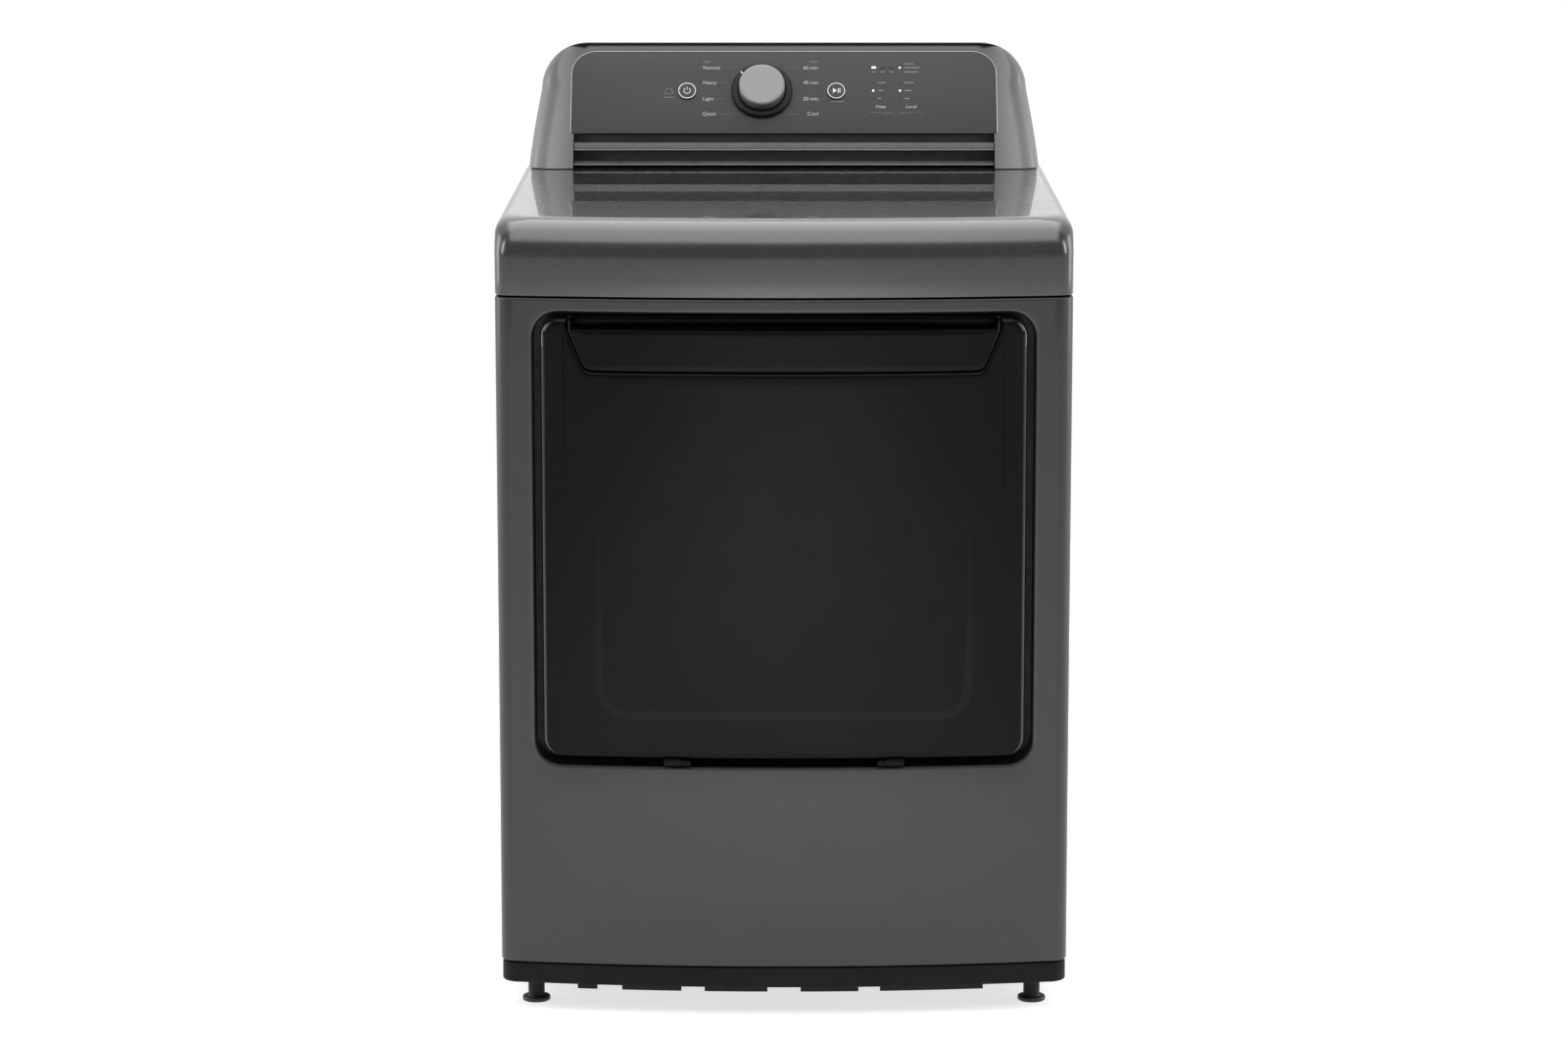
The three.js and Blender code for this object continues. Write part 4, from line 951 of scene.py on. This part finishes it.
def knob():
    """A dished skirt, a tall silver cap and a white tick."""
    ring = revolve([(0, 0.35), (39.2, 0.35), (40, 1.0), (40, 3.6), (39.5, 4.9), (38.3, 5.8),
                    (36.8, 6.15), (34, 6.2), (31.4, 6.0), (30.6, 5.6), (30.4, 5.0), (0, 5.0)], 96)
    ring = placed(ring, on_face(KNOB["x"], CONTROLS_UP))
    add_mesh("knob_skirt", ring, SATIN_BLACK, "knob", ["knob_ring"])
    cap = revolve([(0, 5.2), (29.6, 5.2), (30, 5.8), (30, 17.2), (29.7, 18.4), (28.9, 19.4),
                   (27.8, 19.9), (26.6, 19.98), (18, 19.75), (8, 19.6), (0, 19.55)], 96)
    cap = placed(cap, on_face(KNOB["x"], CONTROLS_UP))
    add_mesh("knob_top", cap, SILVER, "knob", ["knob_cap"])
    tick = placed(rounded_box((2.0, 5.6, 0.5), 0.2),
                  on_face(KNOB["x"], CONTROLS_UP, 6.2) @ Matrix.Rotation(math.radians(47), 4, "Z")
                  @ Matrix.Translation((0, 35.2, 0)))
    add_mesh("knob_tick", tick, PALE_INK, "knob")


def flat_arc(radius, start, end, width, thick=0.25, steps=24):
    """A thin raised band along an arc, in degrees from +X."""
    closed = abs(end - start) >= 360
    loops = []
    for i in range(steps + (0 if closed else 1)):
        angle = math.radians(start + (end - start) * i / steps)
        inner, outer = radius - width / 2, radius + width / 2
        c, s = math.cos(angle), math.sin(angle)
        loops.append([(inner * c, inner * s, 0), (inner * c, inner * s, thick),
                      (outer * c, outer * s, thick), (outer * c, outer * s, 0)])
    if closed:
        loops.append(loops[0])
        return loft(loops)
    return loft(loops, cap_start=True, cap_end=True)


def bar(x0, y0, x1, y1, width, thick=0.25):
    """A thin raised bar between two points of a plane."""
    start, end = Vector((x0, y0, 0)), Vector((x1, y1, 0))
    along = end - start
    part = rounded_box((along.length, width, thick), min(width, thick) * 0.3)
    angle = math.atan2(along.y, along.x)
    middle = (start + end) / 2
    return placed(part, Matrix.Translation((middle.x, middle.y, thick / 2)) @ Matrix.Rotation(angle, 4, "Z"))


def buttons():
    for name, x in (("power", BUTTON["power"]), ("start", BUTTON["start"])):
        radius = BUTTON["radius"]
        disc = revolve([(0, -8), (radius - 0.3, -8), (radius, -7), (radius, 1.1), (radius - 0.4, 1.7),
                        (radius - 1.0, 1.9), (8, 1.9), (0, 1.75)], 64)
        disc = placed(disc, on_face(x, CONTROLS_UP))
        body = f"{name}_button"
        add_mesh(f"{name}_disc", disc, FACE_PAINT, body, [body])
        ring = placed(flat_arc(radius - 1.2, 0, 360, 1.15, 0.2, 64), on_face(x, CONTROLS_UP, 1.88))
        add_mesh(f"{name}_ring", ring, PALE_INK, body, slot="silver_trim")
    power = merge(flat_arc(4.2, 125, 415, 0.9), bar(0, 1.2, 0, 6.0, 0.9))
    power = placed(power, on_face(BUTTON["power"], CONTROLS_UP, 1.82))
    add_mesh("power_icon", power, PALE_INK, "power_button")
    triangle = prism([(-4.4, -3.8), (1.0, 0), (-4.4, 3.8)], 0, 0.25)
    start = merge(triangle, *[bar(x, -3.4, x, 3.4, 1.2) for x in (2.6, 4.8)])
    start = placed(start, on_face(BUTTON["start"], CONTROLS_UP, 1.82))
    add_mesh("start_icon", start, PALE_INK, "start_button")


def lettering(text, x, up, size, align="LEFT", material=INK):
    """Raised print in Blender's own plain font, as a mesh."""
    curve = bpy.data.curves.new("print_" + text.replace(" ", "_"), "FONT")
    curve.body = text
    curve.size = size * MM
    curve.align_x = align
    curve.align_y = "CENTER"
    curve.extrude = 0.06 * MM
    curve.resolution_u = 3
    source = linked(curve.name, curve)
    depsgraph = bpy.context.evaluated_depsgraph_get()
    mesh = bpy.data.meshes.new_from_object(source.evaluated_get(depsgraph))
    bpy.data.objects.remove(source)
    place = on_face(x, up, 0.12)
    place.translation *= MM
    mesh.transform(place)
    return dress(linked(curve.name, mesh), material, "cabinet", (), 30)


def mark(x0, rise0, x1, rise1, width, thick=0.25):
    """A bar whose ends are given from the middle line of the controls."""
    return bar(x0, CONTROLS_UP + rise0, x1, CONTROLS_UP + rise1, width, thick)


def lamp(x, rise):
    dome = revolve([(0, 0), (1.1, 0), (1.1, 0.3), (0.7, 0.5), (0, 0.55)], 16)
    return placed(dome, Matrix.Translation((x, CONTROLS_UP + rise, 0)))


def legends():
    """Generic words and numbers, leader lines to the knob, lamps and their small marks."""
    rows = (41.5, 19.5, -4.5, -26.5)
    names = ("Normal", "Heavy", "Light", "Quick")
    times = ("60 min", "40 min", "20 min", "Cool")
    lines = []
    for rise, name, time in zip(rows, names, times):
        up = CONTROLS_UP - 7 + rise
        side = math.sqrt(46.0 ** 2 - (up - CONTROLS_UP) ** 2)
        word = lettering(name, -106.5, up, 7.2)
        lettering(time, 45.0, up, 7.2, "RIGHT")
        word_end = max(v.co.x for v in word.data.vertices) / MM
        lines.append(bar(word_end + 2, up, KNOB["x"] - side, up, 0.35))
        lines.append(bar(KNOB["x"] + side, up, 20.0, up, 0.35))
    lettering("Auto", -106.5, CONTROLS_UP + 43.5, 4.6, material=DIM_INK)
    lettering("Timed", 45.0, CONTROLS_UP + 43.5, 4.6, "RIGHT", DIM_INK)
    lines = placed(merge(*lines), on_face(0, 0, 0.02))
    add_mesh("leader_lines", lines, DIM_INK, smooth=30)

    dark, lit, small = [], [], []
    for i, x in enumerate((118.0, 129.8, 141.0)):
        (lit if i == 0 else dark).append(mark(x - 2.6, 35, x + 2.6, 35, 2.4, 0.5))
        small.append(mark(x - 2.6, 28.5, x + 2.6, 28.5, 1.2))
    for row, rise in enumerate((12.5, 0.8, -11.0)):
        for column, x in enumerate((117.0, 152.0)):
            (lit if row == 1 else dark).append(lamp(x, rise))
            small.append(mark(x + 6, rise, x + 16 - 3 * row + 2 * column, rise, 1.5))
    lit.append(lamp(152.0, 35))
    for rise, length in ((40.5, 12), (34.8, 20), (28.5, 18)):
        small.append(mark(158, rise, 158 + length, rise, 1.3))
    for line in ((111, -31.5, 142, -31.5, 0.4), (151, -31.5, 182, -31.5, 0.4), (131, -34.5, 160, -34.5, 0.4),
                 (-158, -9, -144, -9, 1.0), (62, -15.5, 78, -15.5, 1.0), (-157, -3.5, -145, -3.5, 0.6),
                 (-157, -3.5, -154, 4, 0.6), (-145, -3.5, -148, 4, 0.6), (-154, 4, -148, 4, 0.6)):
        small.append(mark(*line))
    lettering("Heat", 127.0, CONTROLS_UP - 23.0, 6.6, "CENTER")
    lettering("Level", 166.5, CONTROLS_UP - 23.0, 6.6, "CENTER")
    for name, parts, material in (("small_marks", small, DIM_INK), ("lit_lamps", lit, LENS_LIT),
                                  ("dark_lamps", dark, LENS_DARK)):
        add_mesh(name, placed(merge(*parts), on_face(0, 0, 0.02)), material, smooth=30)


def door_band():
    """A faint lighter band on the door, U-shaped, fading out upwards."""
    half, low, high, corner, width = 225.0, DOOR_LOW.z + 53, DOOR_LOW.z + 270, 34.0, 10.0
    path = [(half - 5 * i / 12, high - (high - low - corner) * i / 12) for i in range(12)]
    for i in range(9):
        angle = -math.pi / 2 * i / 8
        path.append((half - 5 - corner + corner * math.cos(angle), low + corner + corner * math.sin(angle)))
    bottom = path[-1][0]
    path += [(bottom * (1 - i / 10), low) for i in range(1, 10)]
    path = path + [(0.0, low)] + [(-x, z) for x, z in reversed(path)]
    loops = []
    for i, (x, z) in enumerate(path):
        before = Vector(path[max(i - 1, 0)])
        after = Vector(path[min(i + 1, len(path) - 1)])
        along = (after - before).normalized()
        side = Vector((-along.y, along.x)) * width / 2
        row = []
        for share in (-1, -0.5, 0, 0.5, 1):
            px, pz = x + side.x * share, z + side.y * share
            row.append((px, front_y(px, DOOR_PROUD) - 0.1 * (1.2 - share ** 2), pz))
        loops.append(row)
    part = loft(loops, closed=False)
    piece = add_mesh("door_band", part, BAND_BLACK, "door", smooth=60)
    thicken(piece, 0.05, 0.0, 60)


# ---- Feet ----
def hexagon(radius, z0, z1):
    return revolve([(radius - 0.8, z0), (radius, z0 + 0.8), (radius, z1 - 0.8), (radius - 0.8, z1)], 6)


def feet():
    """Rounded pads, threaded stems and lock nuts."""
    for name in ("front_left", "front_right", "rear_left", "rear_right"):
        node = f"foot_{name}"
        low, high = box_mm(node)
        x, y = (low.x + high.x) / 2, (low.y + high.y) / 2
        pad = revolve([(0, 0), (15.4, 0), (16.6, 0.5), (17, 1.5), (17, 4.2), (16.4, 5.4), (15, 6.0),
                       (11.4, 6.4), (10.9, 7.4), (0, 7.4)], 40)
        thread = [(0, 7)]
        turns = int((high.z - 8) / 2)
        for i in range(turns):
            z = 7.2 + 2 * i
            thread += [(9.4, z), (10.2, z + 0.7), (10.2, z + 1.1), (9.4, z + 1.8)]
        thread.append((0, 7.2 + 2 * turns))
        parts = [pad, revolve(thread, 28), hexagon(14.6, 24.7, 29.7)]
        part = placed(merge(*parts), Matrix.Translation((x, y, 0)))
        add_mesh(f"{node}_detail", part, FOOT_BLACK, node, [node], smooth=30)


# ---- Back and sides ----
def screw(x, y, z, out):
    """A pan-head screw with a cross recess, its head facing along out."""
    head = revolve([(0, -1), (3.6, -1), (3.9, 0.1), (3.6, 1.0), (2.6, 1.7), (1.2, 2.0), (0, 2.05)], 20)
    slot = merge(bar(-2.1, 0, 2.1, 0, 0.7, 0.14), bar(0, -2.1, 0, 2.1, 0.7, 0.14))
    slot = placed(slot, Matrix.Translation((0, 0, 1.96)))
    place = axis_matrix((x, y, z), out)
    return placed(head, place), placed(slot, place)


def screws(name, places, out, body="cabinet"):
    heads, slots = zip(*[screw(*place, out) for place in places])
    add_mesh(f"{name}_screws", merge(*heads), STEEL, body)
    add_mesh(f"{name}_screw_slots", merge(*slots), BLACK, body)


def embossed(half_x, half_z, rise, corner, margin=10.0):
    """A pressed field with sloping sides, facing +Z of its own plane."""
    loops = []
    for inset, height in ((0, -0.6), (0, 0), (1.5, 0.25), (margin * 0.5, rise * 0.62),
                          (margin * 0.85, rise * 0.96), (margin, rise)):
        reach = max(corner - inset * 0.5, 2)
        loops.append(corner_ring(half_x - inset - reach, half_z - inset - reach, reach, height, 6))
    return loft(loops, cap_start=True, cap_end=True)


def vent(half, rise=3.2):
    """A pressed louvre: a long half capsule that opens downwards."""
    loops = []
    for i in range(13):
        x = half * (2 * i / 12 - 1)
        swell = math.sqrt(max(0.0, 1 - (x / half) ** 6))
        loops.append([(x, -3.4, -0.3), (x, -3.4, rise * swell), (x, -1.2, rise * 0.94 * swell),
                      (x, 1.6, rise * 0.55 * swell), (x, 4.2, 0.0), (x, 4.2, -0.3)])
    return loft(loops, cap_start=True, cap_end=True)


def back():
    """Pressed fields, louvres and screws of the sheet panels, and the pipe's bead and collar."""
    rear_high = box_mm("rear_panel")[1]
    y = rear_high.y
    facing = lambda x, z: axis_matrix((x, y, z), (0, 1, 0), (-1, 0, 0))
    fields = [placed(embossed(128, 120, 4.5, 30), facing(-140, 530)),
              placed(embossed(128, 120, 4.5, 30), facing(165, 530)),
              placed(embossed(128, 60, 4.5, 26), facing(165, 320))]
    vents = []
    for left, bottom, rows in ((120, 700, 7), (-230, 330, 5)):
        vents += [placed(vent(34), facing(left + 82 * column, bottom + 17 * row))
                  for row in range(rows) for column in range(3)]
    add_mesh("back_pressings", merge(*fields), ZINC)
    add_mesh("back_vents", merge(*vents), ZINC)
    places = [(side * (HALF - 9), y, 90 + 107 * i) for side in (-1, 1) for i in range(8)]
    places += [(-280 + 112 * i, y, rear_high.z - 9) for i in range(6)]
    places += [(60 + 80 * i, y, 75) for i in range(4)]
    lid_low, lid_high = box_mm("terminal_cover")
    places += [((lid_low.x + lid_high.x) / 2, lid_high.y, lid_high.z - 8)]
    screws("back", places, (0, 1, 0))

    cover_y = box_mm("console_back_cover")[1].y
    middle = axis_matrix((0, cover_y - 0.2, 1040), (0, 1, 0), (-1, 0, 0))
    field = placed(embossed(250, 38, 2.0, 18, 7), middle)
    add_mesh("console_back_field", field, ZINC)
    places = [(135.0 * i, cover_y, z) for z in (980.0, 1090.0) for i in range(-2, 3)]
    screws("console", places, (0, 1, 0))

    pipe_low, pipe_high = box_mm("exhaust_pipe")
    x, z = (pipe_low.x + pipe_high.x) / 2, (pipe_low.z + pipe_high.z) / 2
    radius = (pipe_high.x - pipe_low.x) / 2
    bead = [(x + across, pipe_high.y - 6, z + up) for across, up, _ in circle(radius, 0, 64)]
    add_mesh("pipe_bead", tube(bead, 1.3, 8, closed=True), ZINC, smooth=60)
    collar = [(radius + 1.0, 0.0), (radius + 9.0, 0.0), (radius + 9.4, 0.4), (radius + 9.0, 1.0),
              (radius + 3.5, 1.3), (radius + 1.6, 2.6), (radius + 1.0, 2.6)]
    ring = [circle(reach, height, 64) for reach, height in collar]
    part = placed(loft(ring + ring[:1]), axis_matrix((x, y, z), (0, 1, 0)))
    add_mesh("pipe_collar", part, ZINC)


def sides():
    """Side panels with rolled edges all round."""
    for name, sign in (("left", -1), ("right", 1)):
        low, high = box_mm(f"{name}_side_panel")
        profile = [(low.y, 14.0), (low.y, 1.2), (low.y + 0.5, 0.3), (low.y + 1.5, 0.0)]
        profile += [(low.y + 1.5 + (high.y - low.y - 3) * i / 12, 0.0) for i in range(1, 13)]
        profile += [(high.y - 0.5, 0.3), (high.y, 1.2), (high.y, 14.0)]
        rows = []
        for z, inset in ((low.z, 14.0), (low.z, 1.2), (low.z + 0.4, 0.3), (low.z + 1.4, 0.0),
                         (high.z - 1.4, 0.0), (high.z - 0.4, 0.3), (high.z, 1.2), (high.z, 14.0)):
            rows.append([(sign * (HALF - max(depth, inset)), y, z) for y, depth in profile])
        part = loft(rows, closed=False)
        piece = add_mesh(f"{name}_side_skin", part, PAINT, replaces=[f"{name}_side_panel"])
        weld(piece, 0.01)
        thicken(piece, SHEET)


# ---- Inside, seen with the door open ----
def baffles():
    """Smooth ribs with a rounded crest, waisted ends and a row of moulded grooves."""
    for index in (1, 2, 3):
        low, high = box_mm(f"drum_baffle_{index}")
        turn = 2 * math.pi * (index - 1) / 3
        length = high.y - low.y
        loops = []
        steps = 28
        for i in range(steps + 1):
            share = i / steps
            end = min(share, 1 - share) * length
            lift = math.sqrt(max(0.0, 1 - max(0.0, 1 - end / 34) ** 2))
            groove = 0.8 * math.cos(share * steps * math.pi * 0.5) ** 2 if 0.15 < share < 0.85 else 0.0
            ring = []
            for half, height in BAFFLE_PROFILE:
                depth = BAFFLE_FOOT - (BAFFLE_FOOT - height) * (0.12 + 0.88 * lift)
                wide = half - math.copysign(groove, half) * (0.4 if height > 260 else 1.0)
                ring.append((wide, low.y + share * length, depth))
            loops.append(ring)
        verts, faces = loft(loops, cap_start=True, cap_end=True)
        rotation = Matrix.Rotation(turn, 4, "Y")
        verts = [tuple(rotation @ Vector(v) + Vector((0, 0, DRUM_Z))) for v in verts]
        add_mesh(f"baffle_{index}", (verts, faces), WHITE, "drum", [f"drum_baffle_{index}"])


DRUM_LOW, DRUM_HIGH = box_mm("drum_shell")
DRUM_Z = (DRUM_LOW.z + DRUM_HIGH.z) / 2
BAFFLE_FOOT = DRUM_HIGH.z - DRUM_Z - 3.4
BAFFLE_FLANK = [(22 - 11 * i / 6, BAFFLE_FOOT - 62 * i / 6 - 1.5 * math.sin(math.pi * i / 6))
                for i in range(1, 7)]
BAFFLE_CREST = [(-11 * math.cos(math.pi * i / 10), BAFFLE_FOOT - 62 - 11 * math.sin(math.pi * i / 10))
                for i in range(1, 10)]
BAFFLE_PROFILE = [(-22, BAFFLE_FOOT), *[(-half, height) for half, height in BAFFLE_FLANK], *BAFFLE_CREST,
                  *BAFFLE_FLANK[::-1], (22, BAFFLE_FOOT)]


def door_inside():
    """Liner face with a raised rim and a dished middle, and screws."""
    low, high = box_mm("door_liner")
    y = high.y
    half, middle = (high.x - low.x) / 2, (high.z + low.z) / 2
    tall = (high.z - low.z) / 2
    field = placed(embossed(half - 62, tall - 62, 1.6, 50, 16),
                   axis_matrix((0, y - 0.1, middle), (0, 1, 0), (-1, 0, 0)))
    add_mesh("liner_field", field, GREY, "door")
    frame_low, frame_high = box_mm("door_inner_frame")
    places = [(side * (frame_high.x - 16), frame_high.y, frame_low.z + 40 + 120 * i) for side in (-1, 1)
              for i in range(4)]
    screws("door", places, (0, 1, 0), "door")


def port_lip():
    """Rounded bead round the loading port."""
    low, high = box_mm("port_sleeve")
    outline = outline_loop(rect_outline(high.x - 1, low.z + 1, high.z - 1, 60.0, 24, 12, 10))
    loop = [(x, low.y - 0.2, z) for x, z in outline]
    add_mesh("port_bead", tube(loop, 1.3, 8, closed=True), SATIN_BLACK, smooth=60)


def filter_grille():
    """Slotted top rail of the lint filter."""
    low, high = box_mm("lint_filter")
    width = high.x - 4
    middle = (low.y + high.y) / 2
    bars = []
    for i in range(23):
        x = -width + 2 * width * i / 22
        bars.append(placed(rounded_box((3.2, 15.0, 1.6), 0.6), Matrix.Translation((x, middle, high.z + 0.5))))
    add_mesh("filter_bars", merge(*bars), GREY, "lint_filter")


dress_cad_nodes()
front_panel()
top_cover()
toe_skirt()
door_face()
door_grip()
console_shell()
control_panel()
louver()
knob()
buttons()
legends()
door_band()
feet()
back()
sides()
baffles()
door_inside()
port_lip()
filter_grille()


# ---- Stage, lights and camera ----
def stage():
    """A pale floor that curves up into a pale wall behind."""
    reach, wall_y, bend, top = 14.0, 5.0, 2.5, 12.0
    profile = [(-reach, 0.0)]
    for i in range(17):
        angle = math.pi / 2 * i / 16
        profile.append((wall_y + bend * math.sin(angle), bend * (1 - math.cos(angle))))
    profile.append((wall_y + bend, top))
    sheet = loft([[(-reach, y, z), (reach, y, z)] for y, z in profile], closed=False)
    mesh = new_mesh("floor", sheet, 1.0)
    mesh.shade_smooth()
    floor = linked("floor", mesh)
    shader = Shader("floor")
    shader.set(Specular_IOR_Level=0.1, Roughness=0.9, Emission_Color=(1, 1, 1, 1), Emission_Strength=0.7)
    shader.into("Base Color", shader.ramp(shader.noise(0.6, 2), grey(0.48), grey(0.5), 0.3, 0.7))
    mesh.materials.append(shader.material)


def area_light(name, place, target, size, power):
    data = bpy.data.lights.new(name, "AREA")
    data.shape = "RECTANGLE"
    data.size, data.size_y = size
    data.energy = power
    light = linked(name, data)
    light.location = place
    light.rotation_euler = (Vector(target) - Vector(place)).to_track_quat("-Z", "Y").to_euler()


def front_card():
    """A card on the floor before the camera, brightest along its middle, that the bowed front mirrors."""
    verts = [(-4, -7.0, 0.004), (4, -7.0, 0.004), (4, -0.95, 0.004), (-4, -0.95, 0.004)]
    mesh = new_mesh("front_card", (verts, [(0, 1, 2, 3)]), 1.0)
    card = linked("front_card", mesh)
    shader = Shader("front_card")
    nodes, links = shader.nodes, shader.links
    mapping = nodes.new("ShaderNodeMapping")
    mapping.inputs["Location"].default_value = (0, 0.95, 0)
    mapping.inputs["Scale"].default_value = (0.7, 0.25, 0)
    links.new(shader.coords, mapping.inputs["Vector"])
    gradient = nodes.new("ShaderNodeTexGradient")
    gradient.gradient_type = "SPHERICAL"
    links.new(mapping.outputs["Vector"], gradient.inputs["Vector"])
    shader.into("Emission Color", shader.ramp(gradient.outputs["Color"], grey(0.34), grey(1.0), 0.05, 0.85))
    shader.set(Emission_Strength=CARD_GLOW)
    shader.into("Base Color", shader.ramp(shader.noise(2, 2), grey(0.2), grey(0.22), 0.3, 0.7))
    mesh.materials.append(shader.material)


def lights():
    world = bpy.data.worlds.new("studio")
    world.use_nodes = True
    nodes, links = world.node_tree.nodes, world.node_tree.links
    direction = nodes.new("ShaderNodeTexCoord").outputs["Generated"]
    split = nodes.new("ShaderNodeSeparateXYZ")
    links.new(direction, split.inputs["Vector"])
    ramp = nodes.new("ShaderNodeValToRGB")
    front, back_wall = ramp.color_ramp.elements
    front.color, back_wall.color = grey(0.24), grey(1.0)
    front.position, back_wall.position = 0.0, 0.12
    links.new(split.outputs["Y"], ramp.inputs["Fac"])
    links.new(ramp.outputs["Color"], nodes["Background"].inputs["Color"])
    nodes["Background"].inputs["Strength"].default_value = 1.15
    bpy.context.scene.world = world
    area_light("overhead", (0, -0.05, 3.6), (0, -0.05, 0), (3.0, 5.6), 150)
    area_light("left_side", (-3.4, 0.3, 1.5), (0, 0.1, 0.6), (1.6, 2.4), 40)
    area_light("right_side", (3.4, 0.3, 1.5), (0, 0.1, 0.6), (1.6, 2.4), 40)
    for side in (-1, 1):
        area_light("strip", (side * 2.5, -1.5, 1.9), (side * 0.3, -0.3, 0.75), (0.35, 1.5), 22)
    front_card()


def camera():
    """Straight on, a little above the deck, looking slightly down."""
    distance, height, pitch = 5.5, 1.584, math.radians(10.1)
    data = bpy.data.cameras.new("camera")
    data.lens = 107.6
    data.sensor_width = 36.0
    data.clip_end = 60
    eye = linked("camera", data)
    eye.location = (0, EDGE_Y * MM - distance, height)
    eye.rotation_euler = (math.pi / 2 - pitch, 0, 0)
    bpy.context.scene.camera = eye


stage()
lights()
camera()
bpy.context.scene.view_settings.view_transform = "Standard"
